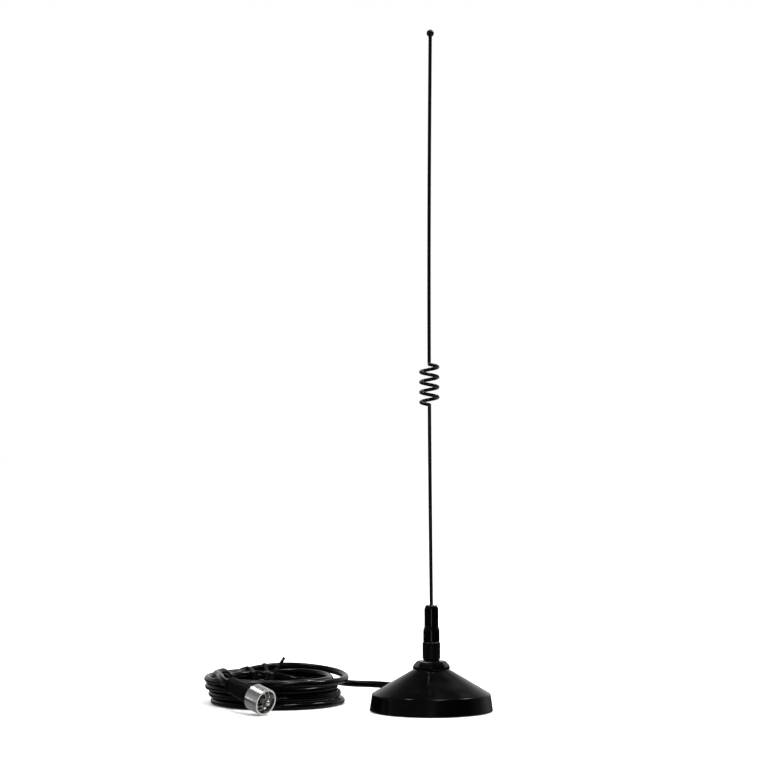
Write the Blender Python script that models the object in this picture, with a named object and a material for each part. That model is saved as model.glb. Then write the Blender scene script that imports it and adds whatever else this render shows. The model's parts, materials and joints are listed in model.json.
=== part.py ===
"""A magnetic-mount whip antenna with a coiled coaxial lead and a screw-on plug.

Every dimension is in millimetres and is turned into metres where a mesh is made.
The whip stands on the Z axis, and the pad under the magnet rests on the plane Z = 0.
"""

import math

import bmesh
import bpy
from mathutils import Vector

MM = 0.001
GAP = 0.3  # clearance between two pieces that rest on each other

# Whip: a steel rod with an air-wound phasing coil, and a ball on its tip.
TOTAL_HEIGHT = 482.6
ROD_RADIUS = 1.25
BALL_RADIUS = 2.65
ROD_BOTTOM = 55.6
WINDING_BOTTOM = 216.9
WINDING_PITCH = 7.13
WINDING_TURNS = 4.0
WINDING_RADIUS = 6.0
WINDING_BEND = 2.2  # height over which the rod bends out to the phasing coil
WHIP_LEAN = 0.8  # how far the tip stands to the left of the base
WHIP_BOW = 1.25  # how far the whip's middle bulges to the left of that line

# Ferrule: the turned foot of the whip.
FERRULE_TOP = 75.0
UPPER_RADIUS = 5.0
MIDDLE_RADIUS = 5.85
GRIP_RADIUS = 6.375
GRIP_TOP = 49.2
FERRULE_BOTTOM = 36.8
STUD_RADIUS = 3.95
SET_SCREW_HEIGHT = 63.1
SET_SCREW_AZIMUTH = math.radians(-52.0)
SET_SCREW_RADIUS = 1.2
SET_SCREW_SOCKET = 0.7  # corner radius of the hexagon

# Hub and base: an eight-sided hub on a conical shell with a flared skirt.
HUB_BOTTOM = 29.5
HUB_SHOULDER = 32.2
HUB_TOP = 35.7
HUB_CORNER_RADIUS = 13.2
HUB_TOP_CORNER_RADIUS = 10.2
SHELL_TOP = 29.2
SHELL_TOP_RADIUS = 13.5
SHOULDER_RADIUS = 42.1
SHOULDER_HEIGHT = 12.3
SKIRT_RADIUS = 43.75
SHELL_WALL = 1.6
STUD_HOLE_RADIUS = 5.9
MAGNET_BOTTOM = 1.1
MAGNET_TOP = 9.1
PLATE_BOTTOM = MAGNET_TOP + GAP
PLATE_TOP = 10.9

# Lead: a coaxial cable that leaves the shell at the back left.
CABLE_RADIUS = 2.475
EXIT_ANGLE = math.radians(144.7)
EXIT_HEIGHT = 16.0
JACKET_START = 17.5
CLAMP_INNER = 19.5
CLAMP_LENGTH = 5.0

# Coil of the lead: three nested columns of loops, each four levels high.
LEVELS = (
    # centre x, centre y, loop radius of the outer column
    (-110.6, 48.5, 46.2),
    (-112.8, 49.5, 45.7),
    (-115.2, 51.0, 45.8),
    (-113.5, 51.5, 46.1),
)
LOOSE_TOP_LOOP = (-111.7, 53.0, 50.1)
LEVEL_PITCH = 5.12
COLUMN_PITCH = 5.45
SHIFT_START = 40.0  # each loop moves to the next level between these angles, at the back
SHIFT_SPAN = 110.0
SLACK = 0.11  # there the loops also lie a little more loosely, one on another
LOOP_RISES = {3: 0.9, 4: 3.2, 5: 0.9}  # how high the topmost loops stand clear, by lap
RISE_START = -20.0
RISE_SPAN = 170.0
FEED_SPAN = 120.0  # the angle over which the lead's first half loop comes down to the floor
FEED_LOOP = (-111.7, 51.0, 51.9)
FEED_HEIGHT = 12.5
FEED_ANGLE = 30.0
LEAVE_ANGLE = 215.0
LEAVE_RADIUS = 47.0
STEP_ANGLE = 15.0
COIL_CENTRE = Vector((-112.0, 51.0, 0.0))

# Plug: it lies in front of the coil on the rim of its coupling ring.
PLUG_MOUTH = Vector((-115.9, -29.6, 9.35))
PLUG_AIM = Vector((0.6986, -0.669, -0.254)).normalized()
RING_RADIUS = 9.5
RING_BORE = 7.75
RING_LENGTH = 12.3
BOOT_START = 12.7
BOOT_END = 37.0

# Twist ties: plastic ribbons round the coil's loops.
TIE_WIDTH = 3.0
TIE_THICKNESS = 0.5
TIE_CLEARANCE = 0.3

COLOURS = {
    # name: (colour, roughness, metallic)
    "rod_black": ((0.012, 0.012, 0.013), 0.35, 0.2),
    "ferrule_black": ((0.016, 0.016, 0.018), 0.18, 0.8),
    "knurl_black": ((0.03, 0.03, 0.032), 0.4, 0.7),
    "hub_black": ((0.014, 0.014, 0.015), 0.25, 0.0),
    "shell_black": ((0.02, 0.02, 0.022), 0.38, 0.3),
    "jacket_black": ((0.018, 0.018, 0.019), 0.4, 0.0),
    "boot_black": ((0.022, 0.022, 0.023), 0.55, 0.0),
    "rubber_black": ((0.02, 0.02, 0.02), 0.8, 0.0),
    "tie_black": ((0.015, 0.015, 0.016), 0.3, 0.0),
    "nickel": ((0.62, 0.61, 0.58), 0.2, 1.0),
    "zinc_steel": ((0.55, 0.56, 0.58), 0.35, 1.0),
    "black_steel": ((0.03, 0.03, 0.032), 0.4, 0.6),
    "brass": ((0.6, 0.45, 0.2), 0.3, 1.0),
    "copper": ((0.7, 0.33, 0.18), 0.3, 1.0),
    "nylon": ((0.75, 0.73, 0.68), 0.5, 0.0),
    "polyethylene": ((0.8, 0.8, 0.78), 0.4, 0.0),
    "phenolic": ((0.012, 0.01, 0.009), 0.4, 0.0),
    "ferrite": ((0.05, 0.05, 0.055), 0.6, 0.1),
}


def clear_scene():
    for obj in list(bpy.data.objects):
        bpy.data.objects.remove(obj, do_unlink=True)


def material(name):
    found = bpy.data.materials.get(name)
    if found:
        return found
    colour, roughness, metallic = COLOURS[name]
    made = bpy.data.materials.new(name)
    made.use_nodes = True
    shader = made.node_tree.nodes["Principled BSDF"]
    shader.inputs["Base Color"].default_value = (*colour, 1.0)
    shader.inputs["Roughness"].default_value = roughness
    shader.inputs["Metallic"].default_value = metallic
    made.diffuse_color = (*colour, 1.0)
    return made


def add_object(name, data, finish, parent=None):
    obj = bpy.data.objects.new(name, data)
    bpy.context.scene.collection.objects.link(obj)
    obj.parent = parent
    data.materials.append(material(finish))
    return obj


def object_from_bmesh(name, bm, finish, parent=None):
    """Turns millimetres into metres, welds and closes the mesh, and shades it smooth."""
    bmesh.ops.remove_doubles(bm, verts=bm.verts, dist=0.001)
    bmesh.ops.recalc_face_normals(bm, faces=bm.faces)
    bmesh.ops.scale(bm, vec=(MM, MM, MM), verts=bm.verts)
    mesh = bpy.data.meshes.new(name)
    bm.to_mesh(mesh)
    bm.free()
    mesh.shade_smooth()
    mesh.set_sharp_from_angle(angle=math.radians(35.0))
    return add_object(name, mesh, finish, parent)


def turned(name, profile, finish, segments=24, parent=None):
    """Spins a profile of (radius, height) about Z. One that starts and ends off the axis is closed."""
    bm = bmesh.new()
    points = [bm.verts.new((radius, 0.0, height)) for radius, height in profile]
    edges = [bm.edges.new(pair) for pair in zip(points, points[1:])]
    if profile[0][0] > 0.0:
        edges.append(bm.edges.new((points[-1], points[0])))
    bmesh.ops.spin(
        bm,
        geom=points + edges,
        axis=(0.0, 0.0, 1.0),
        cent=(0.0, 0.0, 0.0),
        steps=segments,
        angle=math.tau,
    )
    return object_from_bmesh(name, bm, finish, parent)


def ring_profile(inner, outer, low, high):
    return [(outer, high), (outer, low), (inner, low), (inner, high)]


def extruded(name, outline, low, high, finish, parent=None):
    """A prism over an outline of (x, y) points, between two heights."""
    bm = bmesh.new()
    floor = bm.faces.new([bm.verts.new((x, y, low)) for x, y in outline])
    side = bmesh.ops.extrude_face_region(bm, geom=[floor])
    top = [item for item in side["geom"] if isinstance(item, bmesh.types.BMVert)]
    bmesh.ops.translate(bm, vec=(0.0, 0.0, high - low), verts=top)
    return object_from_bmesh(name, bm, finish, parent)


def tube(name, points, radius, finish, bevel_resolution=1, parent=None):
    """A round bar along a line of points."""
    curve = bpy.data.curves.new(name, "CURVE")
    curve.dimensions = "3D"
    curve.bevel_depth = radius * MM
    curve.bevel_resolution = bevel_resolution
    curve.use_fill_caps = True
    spline = curve.splines.new("POLY")
    spline.points.add(len(points) - 1)
    for slot, point in zip(spline.points, points):
        slot.co = (*(Vector(point) * MM), 1.0)
    spline.use_smooth = True
    return add_object(name, curve, finish, parent)


def placed(obj, location, rotation_z=0.0):
    obj.location = Vector(location) * MM
    obj.rotation_euler.z = rotation_z
    return obj


def cut(target, cutter):
    """Subtracts a hidden cutter from a piece."""
    cutter.hide_render = True
    cutter.display_type = "WIRE"
    modifier = target.modifiers.new(cutter.name, "BOOLEAN")
    modifier.operation = "DIFFERENCE"
    modifier.solver = "EXACT"
    modifier.object = cutter


def regular_outline(sides, corner_radius, first_angle):
    return [
        (
            corner_radius * math.cos(first_angle + math.tau * i / sides),
            corner_radius * math.sin(first_angle + math.tau * i / sides),
        )
        for i in range(sides)
    ]


def smooth_step(t):
    t = min(max(t, 0.0), 1.0)
    return t * t * (3.0 - 2.0 * t)


def mix(a, b, t):
    return a + (b - a) * t


def hump(t):
    """Rises from 0 to 1 and falls back, for t from 0 to 1."""
    return math.sin(math.pi * t) ** 2 if 0.0 < t < 1.0 else 0.0


def bend(start, start_heading, end, end_heading, steps, reach=0.36):
    """Points of a cubic curve between two places, leaving out the first."""
    handle = reach * (end - start).length
    a = start + start_heading.normalized() * handle
    b = end - end_heading.normalized() * handle
    points = []
    for i in range(1, steps + 1):
        t = i / steps
        s = 1.0 - t
        points.append(start * s**3 + a * 3 * s * s * t + b * 3 * s * t * t + end * t**3)
    return points


def radial(distance, sideways=0.0, height=0.0):
    """A place in the base, counted from the axis along the line on which the lead leaves."""
    out = Vector((math.cos(EXIT_ANGLE), math.sin(EXIT_ANGLE), 0.0))
    across = Vector((-math.sin(EXIT_ANGLE), math.cos(EXIT_ANGLE), 0.0))
    return out * distance + across * sideways + Vector((0.0, 0.0, height))


# ---------------------------------------------------------------- the whip


def winding_point(turns):
    """A place on the phasing coil, which starts and ends at the front."""
    angle = 1.5 * math.pi - math.tau * turns
    return Vector(
        (
            WINDING_RADIUS * math.cos(angle),
            WINDING_RADIUS * math.sin(angle),
            WINDING_BOTTOM + WINDING_PITCH * turns,
        )
    )


def straight(start, end, steps):
    """Points of a straight line between two places, leaving out the first."""
    return [start.lerp(end, i / steps) for i in range(1, steps + 1)]


def bowed(point):
    """Above the ferrule the whip leans and bows a little to the left."""
    t = max(0.0, point.z - FERRULE_TOP) / (TOTAL_HEIGHT - FERRULE_TOP)
    return point - Vector((WHIP_LEAN * t + WHIP_BOW * math.sin(math.pi * t), 0.0, 0.0))


def whip_points(steps_per_turn=16):
    """Up the axis, out to the front, round the phasing coil, back to the axis and up again."""
    up = Vector((0.0, 0.0, 1.0))
    forward = Vector((0.0, -1.0, 0.0))
    joined = 0.07  # turns at each end over which the wire swings into the coil
    first = winding_point(joined)
    last = winding_point(WINDING_TURNS - joined)
    first_heading = winding_point(joined + 0.01) - first
    last_heading = last - winding_point(WINDING_TURNS - joined - 0.01)
    winding_top = WINDING_BOTTOM + WINDING_PITCH * WINDING_TURNS
    foot = Vector((0.0, 0.0, WINDING_BOTTOM - WINDING_BEND))
    head = Vector((0.0, 0.0, winding_top + WINDING_BEND))
    low_spoke = Vector((0.0, -0.5 * WINDING_RADIUS, WINDING_BOTTOM))
    high_spoke = Vector((0.0, -0.5 * WINDING_RADIUS, winding_top))
    ferrule_end = Vector((0.0, 0.0, FERRULE_TOP))
    tip = Vector((0.0, 0.0, TOTAL_HEIGHT - 2.0 * BALL_RADIUS + 1.6))

    points = [Vector((0.0, 0.0, ROD_BOTTOM)), ferrule_end]
    points += straight(ferrule_end, foot, 6)
    points += bend(foot, up, low_spoke, forward, 4, 0.5)
    points += bend(low_spoke, forward, first, first_heading, 3)
    steps = round(steps_per_turn * WINDING_TURNS)
    for i in range(1, steps + 1):
        points.append(winding_point(mix(joined, WINDING_TURNS - joined, i / steps)))
    points += bend(last, last_heading, high_spoke, -forward, 3)
    points += bend(high_spoke, -forward, head, up, 4, 0.5)
    points += straight(head, tip, 10)
    return [bowed(point) for point in points]


def make_whip():
    tube("whip_rod", whip_points(), ROD_RADIUS, "rod_black", bevel_resolution=2)
    centre = TOTAL_HEIGHT - BALL_RADIUS
    bore = ROD_RADIUS + 0.15
    start = math.asin(bore / BALL_RADIUS)
    steps = 10
    profile = [(0.0, centre + BALL_RADIUS)]
    for i in range(1, steps + 1):
        angle = mix(math.pi, start, i / steps)
        profile.append((BALL_RADIUS * math.sin(angle), centre - BALL_RADIUS * math.cos(angle)))
    profile += [(bore, centre - 0.7), (0.0, centre - 0.7)]
    ball = turned("ball_tip", profile, "rod_black", segments=20)
    placed(ball, bowed(Vector((0.0, 0.0, TOTAL_HEIGHT))) - Vector((0.0, 0.0, TOTAL_HEIGHT)))


def make_ferrule():
    thread_bore = STUD_RADIUS + 0.2
    rod_bore = ROD_RADIUS + 0.2
    profile = [
        (0.0, FERRULE_TOP),
        (3.95, FERRULE_TOP),
        (UPPER_RADIUS - 0.25, FERRULE_TOP - 1.7),
        (UPPER_RADIUS, FERRULE_TOP - 2.5),
        (UPPER_RADIUS, 60.0),
        (MIDDLE_RADIUS, 57.2),
        (MIDDLE_RADIUS, GRIP_TOP + GAP),
        (5.1, GRIP_TOP + GAP),
        (5.1, FERRULE_BOTTOM),
        (thread_bore, FERRULE_BOTTOM),
        (thread_bore, 49.0),
        (0.0, 51.4),
    ]
    ferrule = turned("whip_ferrule", profile, "ferrule_black", segments=32)
    rod_cutter = turned(
        "rod_bore_cutter",
        [(0.0, FERRULE_TOP + 2.0), (rod_bore, FERRULE_TOP + 2.0), (rod_bore, 55.0), (0.0, 55.0)],
        "ferrule_black",
        segments=16,
    )
    cut(ferrule, rod_cutter)
    screw_cutter = turned(
        "set_screw_cutter",
        [(0.0, 8.0), (SET_SCREW_RADIUS + 0.2, 8.0), (SET_SCREW_RADIUS + 0.2, 0.0), (0.0, 0.0)],
        "ferrule_black",
        segments=16,
    )
    lay_radially(screw_cutter)
    cut(ferrule, screw_cutter)


def lay_radially(obj):
    """Turns a piece made along Z to point out of the ferrule at the set screw's place."""
    obj.rotation_euler = (0.0, math.pi / 2.0, SET_SCREW_AZIMUTH)
    obj.location = (0.0, 0.0, SET_SCREW_HEIGHT * MM)


def make_set_screw():
    inner = ROD_RADIUS + 0.3
    outer = UPPER_RADIUS - 0.35
    profile = [
        (0.0, outer),
        (SET_SCREW_RADIUS, outer),
        (SET_SCREW_RADIUS, inner + 0.4),
        (SET_SCREW_RADIUS - 0.4, inner),
        (0.0, inner),
    ]
    screw = turned("set_screw", profile, "black_steel", segments=16)
    lay_radially(screw)
    socket = extruded(
        "set_screw_socket",
        regular_outline(6, SET_SCREW_SOCKET, 0.0),
        outer - 1.6,
        outer + 1.0,
        "black_steel",
    )
    lay_radially(socket)
    cut(screw, socket)


def make_grip_ring():
    inner = 5.1 + GAP
    profile = [
        (inner, GRIP_TOP),
        (GRIP_RADIUS - 0.5, GRIP_TOP),
        (GRIP_RADIUS, GRIP_TOP - 1.2),
        (GRIP_RADIUS, FERRULE_BOTTOM + 0.7),
        (GRIP_RADIUS - 0.5, FERRULE_BOTTOM),
        (inner, FERRULE_BOTTOM),
    ]
    turned("grip_ring", profile, "knurl_black", segments=32)


def make_seal_ring():
    low = HUB_TOP + 0.2
    high = FERRULE_BOTTOM - 0.2
    profile = [
        (4.6, high),
        (5.7, high),
        (5.95, 0.5 * (low + high)),
        (5.7, low),
        (4.6, low),
    ]
    turned("seal_ring", profile, "rubber_black", segments=24)


# ---------------------------------------------------------------- the hub and the stud


def make_hub():
    """An octagon with a corner at the front, a faceted chamfer and a stepped bore."""
    bm = bmesh.new()
    first = -math.pi / 2.0
    rings = (
        (HUB_CORNER_RADIUS, HUB_BOTTOM),
        (HUB_CORNER_RADIUS, HUB_SHOULDER),
        (HUB_TOP_CORNER_RADIUS, HUB_TOP),
    )
    loops = []
    for corner_radius, height in rings:
        outline = regular_outline(8, corner_radius, first)
        loops.append([bm.verts.new((x, y, height)) for x, y in outline])
    bm.faces.new(loops[0])
    bm.faces.new(loops[-1])
    for low, high in zip(loops, loops[1:]):
        for i in range(8):
            j = (i + 1) % 8
            bm.faces.new((low[i], low[j], high[j], high[i]))
    hub = object_from_bmesh("octagon_hub", bm, "hub_black")
    bore = turned(
        "hub_bore_cutter",
        [
            (0.0, HUB_TOP + 1.0),
            (STUD_RADIUS + 0.4, HUB_TOP + 1.0),
            (STUD_RADIUS + 0.4, 34.0),
            (STUD_HOLE_RADIUS, 34.0),
            (STUD_HOLE_RADIUS, HUB_BOTTOM - 1.0),
            (0.0, HUB_BOTTOM - 1.0),
        ],
        "hub_black",
    )
    cut(hub, bore)


def make_stud_and_fasteners():
    stud_low = 16.5
    stud_high = 46.5
    turned(
        "mount_stud",
        [
            (0.0, stud_high),
            (STUD_RADIUS - 0.7, stud_high),
            (STUD_RADIUS, stud_high - 0.7),
            (STUD_RADIUS, stud_low + 0.6),
            (STUD_RADIUS - 0.6, stud_low),
            (0.0, stud_low),
        ],
        "zinc_steel",
    )
    sleeve = STUD_RADIUS + GAP
    turned("insulator_bush", ring_profile(sleeve, 5.5, 27.5, 33.7), "nylon")
    turned("insulator_washer", ring_profile(sleeve, 9.0, 26.0, 27.2), "nylon")
    turned("lock_washer", ring_profile(sleeve, 6.5, 23.7, 24.6), "zinc_steel")
    nut = extruded("stud_nut", regular_outline(6, 7.3, 0.3), 18.5, 23.4, "zinc_steel")
    nut_bore = turned(
        "stud_nut_cutter",
        [(0.0, 24.5), (sleeve, 24.5), (sleeve, 17.5), (0.0, 17.5)],
        "zinc_steel",
    )
    cut(nut, nut_bore)


def tag_outline(eye_radius, tongue_end, tongue_width):
    """A round eye with a tongue along +X."""
    half = math.asin(0.5 * tongue_width / eye_radius)
    steps = 16
    outline = []
    for i in range(steps + 1):
        angle = mix(half, math.tau - half, i / steps)
        outline.append((eye_radius * math.cos(angle), eye_radius * math.sin(angle)))
    outline.append((tongue_end, -0.5 * tongue_width))
    outline.append((tongue_end, 0.5 * tongue_width))
    return outline


def make_solder_tag():
    tag = extruded("solder_tag", tag_outline(7.0, 13.5, 4.2), 24.9, 25.7, "brass")
    tag.rotation_euler.z = EXIT_ANGLE
    eye = STUD_RADIUS + GAP
    cutter = turned(
        "solder_tag_cutter", [(0.0, 27.0), (eye, 27.0), (eye, 23.0), (0.0, 23.0)], "brass"
    )
    cut(tag, cutter)


# ---------------------------------------------------------------- the base


def make_shell():
    slope = Vector((SHOULDER_RADIUS - SHELL_TOP_RADIUS, SHOULDER_HEIGHT - SHELL_TOP)).normalized()
    inward = Vector((slope.y, -slope.x)) * SHELL_WALL
    inner_top = SHELL_TOP_RADIUS + inward.x
    profile = [
        (STUD_HOLE_RADIUS, SHELL_TOP),
        (SHELL_TOP_RADIUS, SHELL_TOP),
        (SHOULDER_RADIUS - 1.6, SHOULDER_HEIGHT + 0.95),
        (SHOULDER_RADIUS - 0.6, SHOULDER_HEIGHT + 0.25),
        (SHOULDER_RADIUS, SHOULDER_HEIGHT - 0.75),
        (42.75, 6.5),
        (SKIRT_RADIUS, 1.4),
        (SKIRT_RADIUS - 0.3, 0.6),
        (SKIRT_RADIUS - 0.9, 0.4),
        (SKIRT_RADIUS - 1.7, 0.4),
        (40.45, 11.0),
        (inner_top, SHELL_TOP - 1.7),
        (STUD_HOLE_RADIUS, SHELL_TOP - 1.7),
    ]
    shell = turned("base_shell", profile, "shell_black", segments=64)
    hole = turned(
        "cable_hole_cutter",
        [(0.0, 46.0), (3.5, 46.0), (3.5, 24.0), (0.0, 24.0)],
        "shell_black",
        segments=20,
    )
    lay_along_exit(hole)
    cut(shell, hole)


def lay_along_exit(obj):
    """Turns a piece made along Z to lie on the line on which the lead leaves."""
    obj.rotation_euler = (0.0, math.pi / 2.0, EXIT_ANGLE)
    obj.location = (0.0, 0.0, EXIT_HEIGHT * MM)


def make_grommet():
    """A sleeve in the shell's hole, trimmed to stand a little proud of the slope."""
    grommet = turned(
        "cable_grommet",
        [(2.7, 42.0), (3.25, 42.0), (3.25, 27.0), (2.7, 27.0)],
        "rubber_black",
        segments=20,
    )
    lay_along_exit(grommet)
    proud = 0.9
    fall = (SHELL_TOP - SHOULDER_HEIGHT) / (SHOULDER_RADIUS - SHELL_TOP_RADIUS)
    near, far = 20.0, 50.0
    near_height = SHELL_TOP + proud - (near - SHELL_TOP_RADIUS) * fall
    far_height = SHELL_TOP + proud - (far - SHELL_TOP_RADIUS) * fall
    outside = turned(
        "grommet_trim_cutter",
        [(near, near_height), (far, far_height), (far, 40.0), (near, 40.0)],
        "rubber_black",
        segments=48,
    )
    cut(grommet, outside)


def make_magnet_stack():
    turned("ring_magnet", ring_profile(14.0, 38.0, MAGNET_BOTTOM, MAGNET_TOP), "ferrite", 48)
    turned(
        "magnet_retainer", ring_profile(38.3, 40.4, MAGNET_BOTTOM, MAGNET_TOP), "nylon", 48
    )
    turned(
        "centre_spacer",
        [
            (0.0, MAGNET_BOTTOM + 1.5),
            (12.2, MAGNET_BOTTOM + 1.5),
            (12.2, MAGNET_TOP),
            (13.7, MAGNET_TOP),
            (13.7, MAGNET_BOTTOM),
            (0.0, MAGNET_BOTTOM),
        ],
        "nylon",
        32,
    )
    turned(
        "floor_pad",
        [(0.0, 0.8), (41.0, 0.8), (41.0, 0.3), (40.7, 0.0), (0.0, 0.0)],
        "rubber_black",
        48,
    )


def make_plate():
    plate = turned(
        "pole_plate",
        [(0.0, PLATE_TOP), (39.4, PLATE_TOP), (39.4, PLATE_BOTTOM), (0.0, PLATE_BOTTOM)],
        "zinc_steel",
        48,
    )
    places = {"clamp_hole_cutter": clamp_screw_place(), "ground_hole_cutter": ground_place()}
    for name, place in places.items():
        hole = turned(
            name, [(0.0, 13.0), (1.8, 13.0), (1.8, 7.0), (0.0, 7.0)], "zinc_steel", segments=16
        )
        placed(hole, (place.x, place.y, 0.0))
        cut(plate, hole)


def clamp_screw_place():
    return radial(CLAMP_INNER + 0.5 * CLAMP_LENGTH, -9.8)


def ground_place():
    return radial(8.0, -14.0)


def make_cable_clamp():
    """A moulded block with a screw ear, bored for the lead."""
    outline = [
        (CLAMP_INNER, 4.6),
        (CLAMP_INNER, -4.6),
        (CLAMP_INNER + CLAMP_LENGTH, -4.6),
        (CLAMP_INNER + CLAMP_LENGTH, 4.6),
    ]
    clamp = extruded("cable_clamp", outline, PLATE_TOP + GAP, 19.6, "nylon")
    clamp.rotation_euler.z = EXIT_ANGLE
    ear = extruded(
        "clamp_ear",
        [
            (CLAMP_INNER, -4.0),
            (CLAMP_INNER, -12.8),
            (CLAMP_INNER + CLAMP_LENGTH, -12.8),
            (CLAMP_INNER + CLAMP_LENGTH, -4.0),
        ],
        PLATE_TOP + GAP,
        12.8,
        "nylon",
    )
    ear.rotation_euler.z = EXIT_ANGLE
    join(clamp, ear)
    bore = turned(
        "clamp_bore_cutter",
        [(0.0, 30.0), (2.75, 30.0), (2.75, 15.0), (0.0, 15.0)],
        "nylon",
        segments=20,
    )
    lay_along_exit(bore)
    cut(clamp, bore)
    screw_hole = turned(
        "clamp_screw_cutter", [(0.0, 15.0), (1.8, 15.0), (1.8, 9.0), (0.0, 9.0)], "nylon", 16
    )
    placed(screw_hole, clamp_screw_place())
    cut(clamp, screw_hole)


def join(target, other):
    """Adds a hidden helper to a piece, so that both are one body."""
    other.hide_render = True
    other.display_type = "WIRE"
    modifier = target.modifiers.new(other.name, "BOOLEAN")
    modifier.operation = "UNION"
    modifier.solver = "EXACT"
    modifier.object = other


def make_screw(name, place, head_low):
    """A pan-head screw that stands in the pole plate."""
    profile = [
        (0.0, head_low + 1.7),
        (1.8, head_low + 1.7),
        (2.7, head_low + 0.9),
        (2.7, head_low),
        (1.5, head_low),
        (1.5, PLATE_BOTTOM + 0.1),
        (0.0, PLATE_BOTTOM + 0.1),
    ]
    screw = turned(name, profile, "zinc_steel", segments=20)
    placed(screw, place)
    slot = extruded(
        name + "_slot",
        [(-2.0, -0.35), (2.0, -0.35), (2.0, 0.35), (-2.0, 0.35)],
        head_low + 0.9,
        head_low + 3.0,
        "zinc_steel",
    )
    placed(slot, place)
    cut(screw, slot)


def make_ground_lug():
    place = ground_place()
    lug = extruded("ground_lug", tag_outline(3.6, 7.5, 3.0), PLATE_TOP + GAP, 11.9, "brass")
    towards = radial(14.0, -5.0) - place
    placed(lug, place, math.atan2(towards.y, towards.x))
    cutter = turned(
        "ground_lug_cutter", [(0.0, 14.0), (1.8, 14.0), (1.8, 9.0), (0.0, 9.0)], "brass", 16
    )
    placed(cutter, place)
    cut(lug, cutter)
    return place + towards.normalized() * 6.0


def make_wiring(lug_tongue):
    insulator = turned(
        "core_insulator", ring_profile(0.7, 1.45, 14.5, JACKET_START - GAP), "polyethylene", 16
    )
    lay_along_exit(insulator)
    wire_start = radial(JACKET_START - 1.0, 0.0, EXIT_HEIGHT)
    wire = [wire_start, radial(13.9, 0.0, EXIT_HEIGHT)]
    end = radial(11.6, 0.0, 24.55)
    wire += bend(wire[-1], radial(-1.0), end, Vector((0.0, 0.0, 1.0)), 8, 0.5)
    tube("core_wire", wire, 0.45, "copper")
    braid_start = radial(JACKET_START - 0.6, -2.6, EXIT_HEIGHT - 1.2)
    braid_end = lug_tongue + Vector((0.0, 0.0, 13.1))
    braid = [braid_start]
    braid += bend(braid_start, radial(-1.0), braid_end, Vector((0.0, 0.0, -1.0)), 8, 0.4)
    tube("braid_pigtail", braid, 0.8, "copper")


# ---------------------------------------------------------------- the coiled lead


def level(index, column):
    x, y, radius = LEVELS[index]
    height = CABLE_RADIUS + 0.02 + LEVEL_PITCH * index
    return x, y, radius - COLUMN_PITCH * column, height


def coil_laps():
    """Up the outer column, down the middle one and up the inner one."""
    laps = [level(i, 0) for i in range(3)]
    laps.append((*LOOSE_TOP_LOOP, level(3, 0)[3]))
    laps += [level(i, 1) for i in (3, 2, 1, 0)]
    laps += [level(i, 2) for i in (1, 2, 3)]
    return laps


def on_loop(lap, angle):
    x, y, radius, height = lap
    turn = math.radians(angle)
    return Vector((x + radius * math.cos(turn), y + radius * math.sin(turn), height))


def drifted(laps, index, angle):
    """A lap as it is at an angle. The lowest middle loop moves in to become the inner column's."""
    x, y, radius, height = laps[index]
    if index == 7:
        radius -= COLUMN_PITCH * smooth_step((angle - 230.0) / 100.0)
    return x, y, radius, height


def coil_point(laps, total_angle):
    index = int((total_angle - SHIFT_START) // 360.0)
    angle = total_angle - 360.0 * index
    lap = drifted(laps, index, angle)
    if angle < SHIFT_START + SHIFT_SPAN and index > 0:
        before = drifted(laps, index - 1, angle + 360.0)
        t = smooth_step((angle - SHIFT_START) / SHIFT_SPAN)
        lap = tuple(mix(a, b, t) for a, b in zip(before, lap))
    point = on_loop(lap, angle)
    point.z += SLACK * (point.z - CABLE_RADIUS) * hump((angle - SHIFT_START) / SHIFT_SPAN)
    for turn, rise in LOOP_RISES.items():
        point.z += rise * hump((total_angle - 360.0 * turn - RISE_START) / RISE_SPAN)
    return point


def feed_point(laps, angle):
    """The lead's first half loop, outside the coil, down to the floor at the back."""
    sideways = smooth_step((angle - 100.0) / 70.0)
    down = smooth_step((angle - FEED_ANGLE) / FEED_SPAN)
    x, y, radius = (mix(a, b, sideways) for a, b in zip(FEED_LOOP, laps[0]))
    return on_loop((x, y, radius, mix(FEED_HEIGHT, laps[0][3], down)), angle)


def leave_point(laps, angle):
    """The last loop climbs over the others on its way to the plug."""
    x, y, radius, height = laps[-1]
    radius = mix(radius, LEAVE_RADIUS, smooth_step((angle - 172.0) / 45.0))
    height += (LEVEL_PITCH + 0.1) * smooth_step((angle - 155.0) / 30.0)
    return on_loop((x, y, radius, height), angle)


def cable_points():
    """The whole lead, from inside the base, round the coil and into the plug."""
    laps = coil_laps()
    feed = [feed_point(laps, FEED_ANGLE + STEP_ANGLE * i) for i in range(10)]
    first_heading = feed[1] - feed[0]
    start = [radial(d, 0.0, EXIT_HEIGHT) for d in (JACKET_START, 27.0, 38.5)]
    points = start + bend(start[-1], radial(1.0), feed[0], first_heading, 6)
    points += feed[1:]
    angle = FEED_ANGLE + STEP_ANGLE * 10
    last = 360.0 * (len(laps) - 1) + SHIFT_START + SHIFT_SPAN
    while angle < last + 0.1:
        points.append(coil_point(laps, angle))
        angle += STEP_ANGLE
    angle -= 360.0 * (len(laps) - 1)
    while angle < LEAVE_ANGLE + 0.1:
        points.append(leave_point(laps, angle))
        angle += STEP_ANGLE
    end = plug_place(BOOT_END + 2.0)
    points += bend(points[-1], points[-1] - points[-2], end, PLUG_AIM, 7)
    points += [plug_place(BOOT_END - 4.0), plug_place(18.0)]
    return points


def plug_place(distance_behind_mouth):
    return PLUG_MOUTH - PLUG_AIM * distance_behind_mouth


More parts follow.
